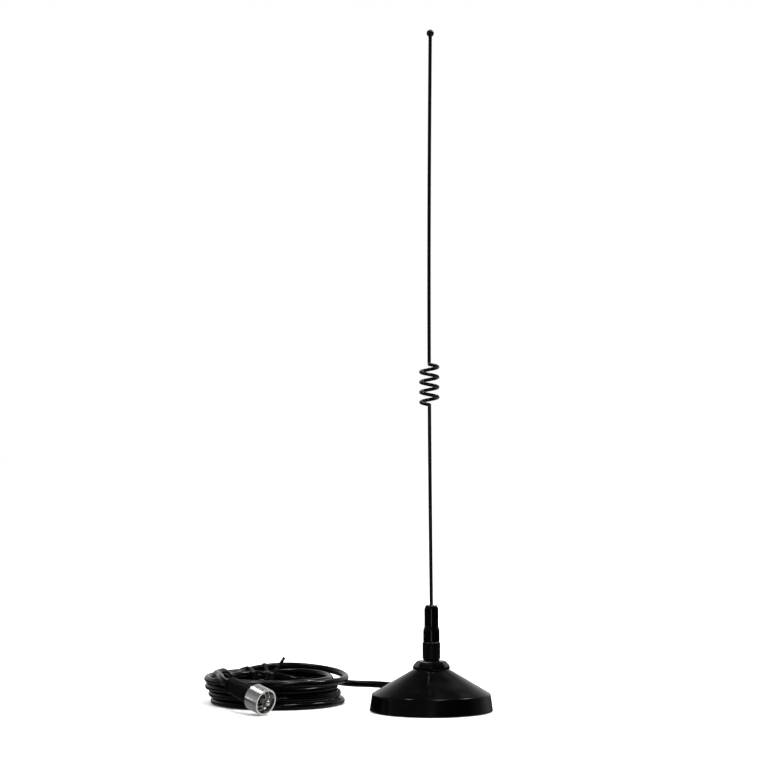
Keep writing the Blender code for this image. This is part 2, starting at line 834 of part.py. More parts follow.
def strands_at(points, angle):
    """Where the lead crosses the upright half-plane at this angle, as (distance, height)."""
    across = Vector((-math.sin(angle), math.cos(angle), 0.0))
    out = Vector((math.cos(angle), math.sin(angle), 0.0))
    found = []
    for a, b in zip(points, points[1:]):
        before = (a - COIL_CENTRE).dot(across)
        after = (b - COIL_CENTRE).dot(across)
        if before * after > 0.0 or before == after:
            continue
        crossing = a.lerp(b, before / (before - after))
        distance = (crossing - COIL_CENTRE).dot(out)
        if 20.0 < distance < 70.0:
            found.append((distance, crossing.z))
    return found


def wrap_outline(strands):
    """The outline of a taut band round the strands, as (distance, height, outward pair)."""
    reach = CABLE_RADIUS + TIE_CLEARANCE
    directions = [math.tau * i / 16 for i in range(16)]
    candidates = []
    for distance, height in strands:
        for turn in directions:
            away = (math.cos(turn), math.sin(turn))
            candidates.append((distance + reach * away[0], height + reach * away[1], away))
    candidates.sort(key=lambda point: (point[0], point[1]))
    return half_hull(candidates) + half_hull(candidates[::-1])


def half_hull(candidates):
    hull = []
    for point in candidates:
        while len(hull) > 1:
            (ax, ay, _), (bx, by, _) = hull[-2:]
            if (bx - ax) * (point[1] - ay) - (by - ay) * (point[0] - ax) > 1e-6:
                break
            hull.pop()
        hull.append(point)
    return hull[:-1]


def inner_side(outline, height):
    """How far from the coil's centre the band's inner side stands at a height."""
    crossings = []
    for (near, low, _), (far, high, _) in zip(outline, outline[1:] + outline[:1]):
        if (low - height) * (high - height) < 0.0:
            crossings.append(mix(near, far, (height - low) / (high - low)))
    return min(crossings)


def make_twist_tie(name, points, angle_degrees, knot_height, tail_lean):
    """A flat band round the loops, and its twisted tail, which stands up inside the coil."""
    angle = math.radians(angle_degrees)
    out = Vector((math.cos(angle), math.sin(angle), 0.0))
    across = Vector((-math.sin(angle), math.cos(angle), 0.0))
    outline = wrap_outline(strands_at(points, angle))
    bm = bmesh.new()
    rings = []
    for distance, height, away in outline:
        inner = COIL_CENTRE + out * distance + Vector((0.0, 0.0, height))
        thick = (out * away[0] + Vector((0.0, 0.0, away[1]))) * TIE_THICKNESS
        side = across * (0.5 * TIE_WIDTH)
        corners = (inner - side, inner + side, inner + thick + side, inner + thick - side)
        rings.append([bm.verts.new(corner) for corner in corners])
    for ring, following in zip(rings, rings[1:] + rings[:1]):
        for i in range(4):
            j = (i + 1) % 4
            bm.faces.new((ring[i], ring[j], following[j], following[i]))
    tie = object_from_bmesh(name, bm, "tie_black")
    knot_distance = inner_side(outline, knot_height) - 0.4
    root = COIL_CENTRE + out * knot_distance + Vector((0.0, 0.0, knot_height))
    join(tie, make_tail(name + "_tail", root, out, tail_lean))


def make_tail(name, root, out, lean):
    """Two ribbons twisted together: a flat bar that turns as it rises."""
    bm = bmesh.new()
    steps = 12
    rings = []
    for i in range(steps + 1):
        t = i / steps
        centre = root + lean * t - out * (0.6 * math.sin(math.pi * t))
        rings.append(twisted_ring(bm, centre, lean.normalized(), out, 1.5 * math.tau * t))
    bm.faces.new(rings[0])
    bm.faces.new(rings[-1])
    for ring, following in zip(rings, rings[1:]):
        for i in range(4):
            j = (i + 1) % 4
            bm.faces.new((ring[i], ring[j], following[j], following[i]))
    return object_from_bmesh(name, bm, "tie_black")


def twisted_ring(bm, centre, heading, out, turn):
    side = heading.cross(out).normalized()
    over = side.cross(heading)
    wide = side * math.cos(turn) + over * math.sin(turn)
    thin = heading.cross(wide)
    corners = ((-1.1, -0.6), (1.1, -0.6), (1.1, 0.6), (-1.1, 0.6))
    return [bm.verts.new(centre + wide * w + thin * t) for w, t in corners]


# ---------------------------------------------------------------- the plug


def make_plug():
    """Profiles run along the plug's axis, with the distance behind its mouth as the height."""
    axis = bpy.data.objects.new("plug_axis", None)
    bpy.context.scene.collection.objects.link(axis)
    axis.location = PLUG_MOUTH * MM
    axis.rotation_mode = "QUATERNION"
    axis.rotation_quaternion = (-PLUG_AIM).to_track_quat("Z", "Y")
    turned(
        "coupling_ring",
        [
            (RING_BORE, 0.5),
            (8.2, 0.0),
            (RING_RADIUS - 0.4, 0.0),
            (RING_RADIUS, 0.4),
            (RING_RADIUS, RING_LENGTH - 0.5),
            (RING_RADIUS - 0.5, RING_LENGTH),
            (6.6, RING_LENGTH),
            (6.6, 9.8),
            (RING_BORE, 9.8),
        ],
        "nickel",
        48,
        axis,
    )
    body = turned(
        "plug_body",
        [
            (4.6, 5.6),
            (6.0, 5.6),
            (6.25, 5.9),
            (6.25, 8.2),
            (7.4, 8.2),
            (7.4, 9.5),
            (6.3, 9.5),
            (6.3, 21.0),
            (3.95, 21.0),
            (3.95, 13.6),
            (4.6, 13.6),
        ],
        "nickel",
        32,
        axis,
    )
    for i in range(4):
        notch = extruded(
            f"plug_notch_{i}",
            [(3.5, -0.8), (7.0, -0.8), (7.0, 0.8), (3.5, 0.8)],
            4.0,
            6.6,
            "nickel",
            axis,
        )
        notch.rotation_euler.z = math.radians(45.0 + 90.0 * i)
        cut(body, notch)
    turned("plug_insulator", ring_profile(2.2, 4.4, 6.8, 13.3), "phenolic", 24, axis)
    make_centre_pin(axis)
    turned(
        "plug_reducer",
        [
            (2.75, 16.4),
            (3.75, 16.4),
            (3.75, 21.3),
            (5.2, 21.3),
            (5.2, 27.0),
            (2.75, 27.0),
        ],
        "nickel",
        24,
        axis,
    )
    make_boot(axis)
    tube(
        "plug_core_wire",
        [(0.0, 0.0, 4.5), (0.0, 0.0, 17.6)],
        0.45,
        "copper",
        parent=axis,
    )


def make_centre_pin(axis):
    """A round-nosed pin, hollow from the back to take the wire."""
    radius = 1.98
    nose = -3.0  # it stands proud of the coupling ring
    profile = [(0.0, nose)]
    for i in range(1, 6):
        angle = math.radians(18.0 * i)
        profile.append((radius * math.sin(angle), nose + 1.4 * (1.0 - math.cos(angle))))
    profile += [(radius, 15.4), (0.75, 15.4), (0.75, 3.8), (0.0, 3.8)]
    turned("centre_pin", profile, "nickel", 20, axis)


def make_boot(axis):
    """A tapered sleeve with a rolled rim at its back end."""
    rim = BOOT_END - 0.8
    profile = [
        (6.6, BOOT_START),
        (7.0, BOOT_START),
        (7.05, BOOT_START + 0.5),
        (6.95, 17.0),
        (6.35, 25.0),
        (5.75, BOOT_END - 2.6),
        (5.8, BOOT_END - 1.9),
        (6.2, rim - 0.6),
        (6.3, rim),
        (6.0, BOOT_END),
        (2.8, BOOT_END),
        (2.8, 28.0),
        (5.45, 27.3),
        (5.6, 22.0),
        (6.6, 21.6),
    ]
    turned("plug_boot", profile, "boot_black", 28, axis)


def main():
    clear_scene()
    make_whip()
    make_ferrule()
    make_set_screw()
    make_grip_ring()
    make_seal_ring()
    make_hub()
    make_stud_and_fasteners()
    make_solder_tag()
    make_shell()
    make_grommet()
    make_magnet_stack()
    make_plate()
    make_cable_clamp()
    make_screw("clamp_screw", clamp_screw_place(), 13.1)
    lug_tongue = make_ground_lug()
    make_screw("ground_screw", ground_place(), 12.2)
    make_wiring(lug_tongue)
    lead = cable_points()
    tube("coax_cable", lead, CABLE_RADIUS, "jacket_black")
    make_twist_tie("twist_tie_left", lead, 121.0, 11.0, Vector((3.0, -1.0, 7.0)))
    make_twist_tie("twist_tie_back", lead, 103.0, 11.0, Vector((12.0, 1.0, 19.0)))
    make_plug()


main()
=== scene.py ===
"""The looks of the magnetic-mount antenna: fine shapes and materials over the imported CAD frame.

Shapes are worked out in millimetres and turned into metres where a mesh is made.
The whip stands on the Z axis, and the pad under the magnet rests on the plane Z = 0.
"""

import json
import math

import bmesh
import bpy
from mathutils import Matrix, Vector


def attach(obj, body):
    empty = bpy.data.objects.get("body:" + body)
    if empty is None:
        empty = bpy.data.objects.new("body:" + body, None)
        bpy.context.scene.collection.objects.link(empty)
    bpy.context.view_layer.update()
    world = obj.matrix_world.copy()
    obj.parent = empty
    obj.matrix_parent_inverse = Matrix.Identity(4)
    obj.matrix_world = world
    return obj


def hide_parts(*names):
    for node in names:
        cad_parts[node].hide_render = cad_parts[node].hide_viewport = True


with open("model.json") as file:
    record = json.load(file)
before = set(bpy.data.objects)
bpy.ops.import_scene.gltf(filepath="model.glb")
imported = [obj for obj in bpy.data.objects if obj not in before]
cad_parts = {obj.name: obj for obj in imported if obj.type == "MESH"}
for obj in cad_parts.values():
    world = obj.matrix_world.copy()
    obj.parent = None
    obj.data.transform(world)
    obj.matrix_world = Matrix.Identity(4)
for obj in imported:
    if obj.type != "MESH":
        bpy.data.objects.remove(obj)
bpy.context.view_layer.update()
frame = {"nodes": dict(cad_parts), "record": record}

MM = 0.001
UP = Vector((0.0, 0.0, 1.0))
FORWARD = Vector((0.0, -1.0, 0.0))

# Whip, as in the CAD part.
TOTAL_HEIGHT = 482.6
ROD_RADIUS = 1.25
BALL_RADIUS = 2.65
ROD_BOTTOM = 55.6
WINDING_BOTTOM = 216.9
WINDING_PITCH = 7.13
WINDING_TURNS = 4.0
WINDING_RADIUS = 6.0
WINDING_BEND = 2.2
WHIP_LEAN = 0.8
WHIP_BOW = 1.25
ROD_IN_BALL = 1.6  # how deep the rod's end sits in the ball

# Ferrule, hub and stud.
FERRULE_TOP = 75.0
UPPER_RADIUS = 5.0
MIDDLE_RADIUS = 5.85
GRIP_RADIUS = 6.375
GRIP_TOP = 49.2
FERRULE_BOTTOM = 36.8
STUD_RADIUS = 3.95
STUD_PITCH = 1.058
SET_SCREW_HEIGHT = 63.1
SET_SCREW_AZIMUTH = math.radians(-52.0)
SET_SCREW_RADIUS = 1.2
SET_SCREW_SOCKET = 0.7  # corner radius of the hexagon
HUB_BOTTOM = 29.5
HUB_SHOULDER = 32.2
HUB_TOP = 35.7
HUB_CORNER_RADIUS = 13.2
HUB_TOP_CORNER_RADIUS = 10.2
HUB_SOFTENING = 0.45  # how far back from an edge its rounding starts
HUB_SIDES = 8

# Base.
SHELL_TOP = 29.2
SHELL_TOP_RADIUS = 13.5
SHOULDER_RADIUS = 42.1
SHOULDER_HEIGHT = 12.3
SKIRT_RADIUS = 43.75
STUD_HOLE_RADIUS = 5.9

# Lead and its coil. Every angle but EXIT_ANGLE is in degrees round the coil's middle.
CABLE_RADIUS = 2.475
EXIT_ANGLE = math.radians(144.7)
EXIT_HEIGHT = 16.0
JACKET_START = 17.5
LEVELS = (
    # centre x, centre y, loop radius of the outer column
    (-110.6, 48.5, 46.2),
    (-112.8, 49.5, 45.7),
    (-115.2, 51.0, 45.8),
    (-113.5, 51.5, 46.1),
)
LOOSE_TOP_LOOP = (-111.7, 53.0, 50.1)
LEVEL_PITCH = 5.12
COLUMN_PITCH = 5.45
SHIFT_START = 40.0
SHIFT_SPAN = 110.0
SLACK = 0.11
LOOP_RISES = {3: 0.9, 4: 3.2, 5: 0.9}
RISE_START = -20.0
RISE_SPAN = 170.0
LOWEST_MIDDLE_LAP = 7  # the one that moves in to start the inner column
DRIFT_START = 230.0
DRIFT_SPAN = 100.0
FEED_LOOP = (-111.7, 51.0, 51.9)
FEED_HEIGHT = 12.5
FEED_ANGLE = 30.0  # where the lead reaches the coil
FEED_ARC = 135.0  # how far round it has settled into the first lap
FEED_SPAN = 120.0
FEED_SIDEWAYS_START = 100.0
FEED_SIDEWAYS_SPAN = 70.0
LEAVE_CLIMB_START = 155.0
LEAVE_CLIMB_SPAN = 30.0
LEAVE_WIDEN_START = 172.0
LEAVE_WIDEN_SPAN = 45.0
LEAVE_ANGLE = 215.0  # where the lead leaves the coil for the plug
LEAVE_RADIUS = 47.0
COIL_STEP = 3.0  # degrees between two places of the fine lead
COIL_CENTRE = Vector((-112.0, 51.0, 0.0))

# Plug.
PLUG_MOUTH = Vector((-115.9, -29.6, 9.35))
PLUG_AIM = Vector((0.6986, -0.669, -0.254)).normalized()
RING_RADIUS = 9.5
RING_BORE = 7.75
RING_LENGTH = 12.3
RING_THREAD_PITCH = 1.058
BOOT_START = 12.7
BOOT_END = 37.0

TIE_CLEARANCE = 0.3

SHARP_ANGLE = 38.0  # degrees between two faces, above which an edge is shaded as sharp


# ---- materials


def smooth_ramp(tree, value, low, high, to_low=0.0, to_high=1.0):
    """Goes from one number to another as a value goes from low to high."""
    node = tree.nodes.new("ShaderNodeMapRange")
    node.interpolation_type = "SMOOTHSTEP"
    limits = {"From Min": low, "From Max": high, "To Min": to_low, "To Max": to_high}
    for name, number in limits.items():
        node.inputs[name].default_value = number
    tree.links.new(value, node.inputs["Value"])
    return node.outputs["Result"]


class Shader:
    """A Principled material, and short ways to wire procedural patterns into it."""

    def __init__(self, name, roughness=0.5, metallic=0.0, specular=0.5):
        self.material = bpy.data.materials.new(name)
        self.material.use_nodes = True
        self.nodes = self.material.node_tree.nodes
        self.links = self.material.node_tree.links
        self.surface = self.nodes["Principled BSDF"]
        self.surface.inputs["Roughness"].default_value = roughness
        self.surface.inputs["Metallic"].default_value = metallic
        self.surface.inputs["Specular IOR Level"].default_value = specular
        self.bump = None

    def place(self, stretch=(1.0, 1.0, 1.0), attribute=None):
        """The place on the piece in metres, stretched, or a stored attribute of the mesh."""
        mapping = self.nodes.new("ShaderNodeMapping")
        mapping.inputs["Scale"].default_value = stretch
        if attribute:
            source = self.nodes.new("ShaderNodeAttribute")
            source.attribute_name = attribute
            self.links.new(source.outputs["Vector"], mapping.inputs["Vector"])
        else:
            source = self.nodes.new("ShaderNodeTexCoord")
            self.links.new(source.outputs["Object"], mapping.inputs["Vector"])
        return mapping.outputs["Vector"]

    def noise(self, place, scale, detail=3.0, roughness=0.55):
        texture = self.nodes.new("ShaderNodeTexNoise")
        texture.inputs["Scale"].default_value = scale
        texture.inputs["Detail"].default_value = detail
        texture.inputs["Roughness"].default_value = roughness
        self.links.new(place, texture.inputs["Vector"])
        return texture.outputs["Fac"]

    def cells(self, place, scale):
        texture = self.nodes.new("ShaderNodeTexVoronoi")
        texture.inputs["Scale"].default_value = scale
        self.links.new(place, texture.inputs["Vector"])
        return texture.outputs["Distance"]

    def remap(self, value, *limits):
        return smooth_ramp(self.material.node_tree, value, *limits)

    def mix(self, factor, first, second):
        """Blends two colours, each a tuple or a socket."""
        node = self.nodes.new("ShaderNodeMix")
        node.data_type = "RGBA"
        self.links.new(factor, node.inputs["Factor"])
        for socket, colour in ((node.inputs[6], first), (node.inputs[7], second)):
            if isinstance(colour, tuple):
                socket.default_value = (*colour, 1.0)
            else:
                self.links.new(colour, socket)
        return node.outputs[2]

    def colour(self, socket):
        self.links.new(socket, self.surface.inputs["Base Color"])

    def roughness(self, socket):
        self.links.new(socket, self.surface.inputs["Roughness"])

    def relief(self, height, depth_mm, strength=1.0):
        """Adds a bump whose full height is a real depth. Later reliefs lie on earlier ones."""
        node = self.nodes.new("ShaderNodeBump")
        node.inputs["Strength"].default_value = strength
        node.inputs["Distance"].default_value = depth_mm * MM
        self.links.new(height, node.inputs["Height"])
        if self.bump:
            self.links.new(self.bump, node.inputs["Normal"])
        self.bump = node.outputs["Normal"]
        self.links.new(self.bump, self.surface.inputs["Normal"])


def grey(level):
    """A neutral tone, a touch cooler than pure grey."""
    return (level, level, 1.05 * level)


def black_coat(name, dark, light, roughness, specular, grain, depth, stretch):
    """A black finish: faint cloudy colour, uneven gloss, a fine grain and sparse dust specks."""
    shader = Shader(name, specular=specular)
    cloud = shader.noise(shader.place(), 90.0)
    fine = shader.noise(shader.place(stretch), grain, detail=4.0)
    specks = shader.remap(shader.cells(shader.place(), 260.0), 0.03, 0.07, 1.0, 0.0)
    base = shader.mix(shader.remap(cloud, 0.3, 0.7), grey(dark), grey(light))
    shader.colour(shader.mix(specks, base, grey(6.0 * light)))
    shader.roughness(shader.remap(cloud, 0.25, 0.75, roughness - 0.03, roughness + 0.04))
    shader.relief(fine, depth)
    return shader.material


def make_jacket_material():
    """Black vinyl: drawn lines along the lead, a soft grain and slight scuffs."""
    shader = Shader("cable_vinyl", specular=0.1)
    along = shader.place((3.0, 1.0, 1.0), "run_place")
    drawn = shader.noise(along, 1.6, detail=3.0)
    scuffs = shader.noise(shader.place((0.25, 1.0, 1.0), "run_place"), 0.5, detail=5.0, roughness=0.7)
    grain = shader.noise(shader.place(), 1800.0)
    shader.colour(shader.mix(shader.remap(scuffs, 0.52, 0.75), grey(0.0004), grey(0.0012)))
    shader.roughness(shader.remap(scuffs, 0.3, 0.75, 0.17, 0.28))
    shader.relief(drawn, 0.015)
    shader.relief(grain, 0.006)
    return shader.material


def make_nickel_material():
    """Bright nickel plate: turned lines round the axis, smudges and a few pits."""
    shader = Shader("bright_nickel", metallic=1.0)
    smudge = shader.noise(shader.place(), 160.0, detail=4.0)
    lines = shader.noise(shader.place((0.15, 0.15, 6.0)), 900.0, detail=2.0)
    pits = shader.remap(shader.cells(shader.place(), 420.0), 0.02, 0.06, 1.0, 0.0)
    clean = shader.mix(shader.remap(smudge, 0.35, 0.7), (0.66, 0.65, 0.63), (0.56, 0.555, 0.54))
    shader.colour(shader.mix(pits, clean, (0.36, 0.35, 0.33)))
    shader.roughness(shader.remap(smudge, 0.3, 0.75, 0.22, 0.3))
    shader.relief(lines, 0.006, 0.7)
    return shader.material


def metal(name, tone, other_tone, roughness, cell_scale):
    """A plated or bare metal with crystal-like patches and a fine drawn grain."""
    shader = Shader(name, metallic=1.0)
    patches = shader.cells(shader.place(), cell_scale)
    cloud = shader.noise(shader.place(), 220.0)
    grain = shader.noise(shader.place((1.0, 1.0, 5.0)), 1500.0)
    blend = shader.mix(shader.remap(patches, 0.1, 0.6), tone, other_tone)
    shader.colour(shader.mix(shader.remap(cloud, 0.62, 0.8), blend, tuple(0.6 * c for c in tone)))
    shader.roughness(shader.remap(cloud, 0.3, 0.7, roughness - 0.06, roughness + 0.1))
    shader.relief(grain, 0.01)
    return shader.material


def resin(name, tone, other_tone, roughness, grain, depth):
    """A plain moulded plastic with flow marks and a mould grain."""
    shader = Shader(name)
    flow = shader.noise(shader.place((1.0, 1.0, 0.4)), 130.0, detail=2.0)
    fine = shader.noise(shader.place(), grain)
    shader.colour(shader.mix(shader.remap(flow, 0.3, 0.7), tone, other_tone))
    shader.roughness(shader.remap(fine, 0.3, 0.7, roughness - 0.05, roughness + 0.08))
    shader.relief(fine, depth)
    return shader.material


def make_ferrite_material():
    """Sintered ferrite: grey grains with dark pores."""
    shader = Shader("sintered_ferrite", specular=0.4)
    grains = shader.cells(shader.place(), 1400.0)
    pores = shader.remap(shader.cells(shader.place(), 600.0), 0.06, 0.16, 1.0, 0.0)
    body = shader.mix(shader.remap(grains, 0.1, 0.7), (0.05, 0.05, 0.055), (0.075, 0.075, 0.08))
    shader.colour(shader.mix(pores, body, (0.012, 0.012, 0.013)))
    shader.roughness(shader.remap(grains, 0.1, 0.7, 0.5, 0.7))
    shader.relief(grains, 0.03)
    return shader.material


ALONG_Z = (1.0, 1.0, 0.12)  # a grain drawn along the piece
ROUND_Z = (0.12, 0.12, 3.0)  # a grain turned round the piece
EVEN = (1.0, 1.0, 1.0)

BLACK_COATS = {
    # slot: (name, darkest, lightest, roughness, specular level, grain's scale, its depth, its run)
    "rod_finish": ("rod_coat", 0.0008, 0.0016, 0.22, 0.14, 1500.0, 0.01, ALONG_Z),
    "ferrule_finish": ("ferrule_plating", 0.0004, 0.0008, 0.13, 0.08, 1500.0, 0.004, ROUND_Z),
    "knurled_finish": ("knurl_plating", 0.0005, 0.001, 0.3, 0.08, 2200.0, 0.012, EVEN),
    "hub_plastic": ("hub_plastic", 0.0003, 0.0007, 0.16, 0.15, 1300.0, 0.005, EVEN),
    "shell_paint": ("shell_paint", 0.0003, 0.0007, 0.18, 0.08, 1700.0, 0.006, EVEN),
    "boot_sleeve": ("boot_rubber", 0.0004, 0.0009, 0.48, 0.05, 2600.0, 0.015, EVEN),
    "seal_rubber": ("seal_rubber", 0.0012, 0.0022, 0.6, 0.12, 2400.0, 0.03, EVEN),
    "pad_rubber": ("pad_rubber", 0.004, 0.01, 0.7, 0.25, 1200.0, 0.06, EVEN),
    "tie_plastic": ("tie_plastic", 0.0008, 0.0016, 0.22, 0.2, 1900.0, 0.006, EVEN),
    "black_oxide_steel": ("black_oxide", 0.0012, 0.002, 0.36, 0.12, 1900.0, 0.008, EVEN),
}

FINISHES = {slot: black_coat(*recipe) for slot, recipe in BLACK_COATS.items()}
FINISHES |= {
    "cable_jacket": make_jacket_material(),
    "nickel_plate": make_nickel_material(),
    "zinc_plated_steel": metal("zinc_plate", (0.56, 0.57, 0.6), (0.48, 0.49, 0.5), 0.3, 700.0),
    "brass": metal("brass", (0.62, 0.46, 0.2), (0.52, 0.38, 0.16), 0.26, 500.0),
    "copper": metal("copper", (0.7, 0.34, 0.19), (0.58, 0.26, 0.14), 0.28, 500.0),
    "nylon": resin("nylon", (0.76, 0.74, 0.68), (0.66, 0.64, 0.57), 0.45, 1300.0, 0.02),
    "polyethylene": resin("polyethylene", (0.82, 0.82, 0.8), (0.72, 0.73, 0.72), 0.36, 900.0, 0.01),
    "phenolic": resin("phenolic_resin", (0.006, 0.0045, 0.004), (0.003, 0.0025, 0.0022), 0.4, 1100.0, 0.02),
    "ferrite": make_ferrite_material(),
}


# ---- meshes


def piece(name, bm, slot, body, *nodes, frame_matrix=None, sharp=SHARP_ANGLE):
    """Makes a piece of a mesh in millimetres, puts it on the body it rides on, and hides the CAD nodes it
    stands for.
    """
    bmesh.ops.recalc_face_normals(bm, faces=bm.faces)
    bmesh.ops.scale(bm, vec=(MM, MM, MM), verts=bm.verts)
    mesh = bpy.data.meshes.new(name)
    bm.to_mesh(mesh)
    bm.free()
    mesh.shade_smooth()
    mesh.set_sharp_from_angle(angle=math.radians(sharp))
    mesh.materials.append(FINISHES[slot])
    obj = bpy.data.objects.new(name, mesh)
    bpy.context.scene.collection.objects.link(obj)
    if frame_matrix:
        obj.matrix_world = frame_matrix
        bpy.context.view_layer.update()
    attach(obj, body)
    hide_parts(*nodes)
    return obj


def rounded(corners):
    """A profile of (radius, height, fillet) corners, each rounded by an arc with that radius.

    A short flat step before and after each arc keeps the shading of the long faces flat.
    """
    points = []
    count = len(corners)
    for i, (radius, height, fillet) in enumerate(corners):
        here = Vector((radius, height))
        if fillet <= 0.0:
            points.append(here)
            continue
        before = Vector(corners[i - 1][:2]) - here
        after = Vector(corners[(i + 1) % count][:2]) - here
        into, out = before.normalized(), after.normalized()
        half = 0.5 * into.angle(out)
        cut = fillet / math.tan(half)
        middle = here + (into + out).normalized() * (fillet / math.sin(half))
        start = here + into * cut
        end = here + out * cut
        flat = min(0.3 * fillet, 0.25)
        points.append(start + into * flat)
        steps = max(2, math.ceil(math.degrees(math.pi - 2.0 * half) / 14.0))
        first, last = start - middle, end - middle
        for step in range(steps + 1):
            points.append(middle + first.lerp(last, step / steps).normalized() * fillet)
        points.append(end + out * flat)
    return [(p.x, p.y) for p in points]


def polar(radius, angle, height=0.0):
    """A place at a distance from the Z axis, in a direction round it."""
    return Vector((radius * math.cos(angle), radius * math.sin(angle), height))


def spun(profile, segments, relief=None):
    """Spins a closed profile about Z. relief(radius, height, angle) may shift each point's radius."""
    bm = bmesh.new()
    columns = []
    for i in range(segments):
        angle = math.tau * i / segments
        column = []
        for j, (radius, height) in enumerate(profile):
            if radius < 1e-6:
                column.append(columns[0][j] if columns else bm.verts.new((0.0, 0.0, height)))
                continue
            if relief:
                radius += relief(radius, height, angle)
            column.append(bm.verts.new(polar(radius, angle, height)))
        columns.append(column)
    for column, following in zip(columns, columns[1:] + columns[:1]):
        for j in range(len(profile)):
            k = (j + 1) % len(profile)
            corners = (column[j], following[j], following[k], column[k])
            unique = list(dict.fromkeys(corners))
            if len(unique) > 2:
                bm.faces.new(unique)
    return bm


def swept(sections, wrap=False):
    """Joins a list of rings of points into one closed body. The ends are capped, or joined."""
    bm = bmesh.new()
    rings = [[bm.verts.new(point) for point in ring] for ring in sections]
    pairs = list(zip(rings, rings[1:]))
    if wrap:
        pairs.append((rings[-1], rings[0]))
    for ring, following in pairs:
        for i in range(len(ring)):
            j = (i + 1) % len(ring)
            bm.faces.new((ring[i], ring[j], following[j], following[i]))
    if not wrap:
        for ring in (rings[0], rings[-1]):
            bm.faces.new(ring)
    return bm


def round_sections(points, radius, sides, swell=None):
    """Rings round a line of points, turned as little as possible from one to the next."""
    headings = []
    for i in range(len(points)):
        before = points[max(i - 1, 0)]
        after = points[min(i + 1, len(points) - 1)]
        headings.append((after - before).normalized())
    side = headings[0].orthogonal().normalized()
    sections = []
    run = 0.0
    for i, (point, heading) in enumerate(zip(points, headings)):
        if i:
            side = headings[i - 1].rotation_difference(heading) @ side
            run += (point - points[i - 1]).length
        side = (side - heading * side.dot(heading)).normalized()
        over = heading.cross(side)
        ring = []
        for k in range(sides):
            angle = math.tau * k / sides
            reach = radius * (1.0 + swell(run, angle)) if swell else radius
            ring.append(point + (side * math.cos(angle) + over * math.sin(angle)) * reach)
        sections.append(ring)
    return sections


def tube(points, radius, sides, swell=None):
    return swept(round_sections(points, radius, sides, swell))


def store_run(obj, points, radius, sides):
    """Stores on each vertex of a tube how far along it is, and its place round the tube, in mm."""
    attribute = obj.data.attributes.new("run_place", "FLOAT_VECTOR", "POINT")
    run = 0.0
    values = []
    for i, point in enumerate(points):
        if i:
            run += (point - points[i - 1]).length
        for k in range(sides):
            angle = math.tau * k / sides
            values += [0.05 * run, radius * math.cos(angle), radius * math.sin(angle)]
    attribute.data.foreach_set("vector", values)


def cut_from(obj, cutter_mesh, matrix):
    """Subtracts a cutter, given in millimetres, from a piece, and keeps the result."""
    bmesh.ops.recalc_face_normals(cutter_mesh, faces=cutter_mesh.faces)
    bmesh.ops.scale(cutter_mesh, vec=(MM, MM, MM), verts=cutter_mesh.verts)
    mesh = bpy.data.meshes.new("cutter")
    cutter_mesh.to_mesh(mesh)
    cutter_mesh.free()
    cutter = bpy.data.objects.new("cutter", mesh)
    bpy.context.scene.collection.objects.link(cutter)
    cutter.matrix_world = matrix
    modifier = obj.modifiers.new("cut", "BOOLEAN")
    modifier.operation = "DIFFERENCE"
    modifier.solver = "EXACT"
    modifier.object = cutter
    bpy.context.view_layer.update()
    result = bpy.data.meshes.new_from_object(obj.evaluated_get(bpy.context.evaluated_depsgraph_get()))
    obj.modifiers.remove(modifier)
    old = obj.data
    obj.data = result
    result.name = obj.name
    bpy.data.meshes.remove(old)
    bpy.data.objects.remove(cutter, do_unlink=True)
    result.shade_smooth()
    result.set_sharp_from_angle(angle=math.radians(SHARP_ANGLE))


def cylinder(radius, low, high, segments=32):
    return spun([(0.0, low), (radius, low), (radius, high), (0.0, high)], segments)


def box_mesh(low, high):
    bm = bmesh.new()
    corners = [
        bm.verts.new((x, y, z))
        for z in (low[2], high[2])
        for x, y in ((low[0], low[1]), (high[0], low[1]), (high[0], high[1]), (low[0], high[1]))
    ]
    for face in ((3, 2, 1, 0), (4, 5, 6, 7), (0, 1, 5, 4), (1, 2, 6, 5), (2, 3, 7, 6), (3, 0, 4, 7)):
        bm.faces.new([corners[i] for i in face])
    return bm


def thread(crest, pitch, depth, low, high, fade):
    """A relief for a screw thread on a face of radius crest, between two heights."""

    def relief(radius, height, angle):
        if abs(radius - crest) > 0.01 or not low <= height <= high:
            return 0.0
        phase = (height / pitch - angle / math.tau) % 1.0
        ramp = min(1.0, (height - low) / fade, (high - height) / fade)
        return -depth * ramp * (1.0 - abs(2.0 * phase - 1.0))

    return relief


# ---- curves


def mix(a, b, t):
    return a + (b - a) * t


def smooth_step(t):
    t = min(max(t, 0.0), 1.0)
    return t * t * (3.0 - 2.0 * t)


def hump(t):
    """Rises from 0 to 1 and falls back, for t from 0 to 1."""
    return math.sin(math.pi * t) ** 2 if 0.0 < t < 1.0 else 0.0


def bend(start, start_heading, end, end_heading, steps, reach=0.36):
    """Points of a cubic curve between two places, leaving out the first."""
    handle = reach * (end - start).length
    a = start + start_heading.normalized() * handle
    b = end - end_heading.normalized() * handle
    points = []
    for i in range(1, steps + 1):
        t = i / steps
        s = 1.0 - t
        points.append(start * s**3 + a * 3 * s * s * t + b * 3 * s * t * t + end * t**3)
    return points


def straight(start, end, steps):
    """Points of a straight line between two places, leaving out the first."""
    return [start.lerp(end, i / steps) for i in range(1, steps + 1)]


def on_axis(height):
    return Vector((0.0, 0.0, height))


# ---- whip


def winding_point(turns):
    """A place on the phasing coil, which starts and ends at the front."""
    angle = 1.5 * math.pi - math.tau * turns
    return polar(WINDING_RADIUS, angle, WINDING_BOTTOM + WINDING_PITCH * turns)


def bowed(point):
    """Above the ferrule the whip leans and bows a little to the left."""
    t = max(0.0, point.z - FERRULE_TOP) / (TOTAL_HEIGHT - FERRULE_TOP)
    return point - Vector((WHIP_LEAN * t + WHIP_BOW * math.sin(math.pi * t), 0.0, 0.0))


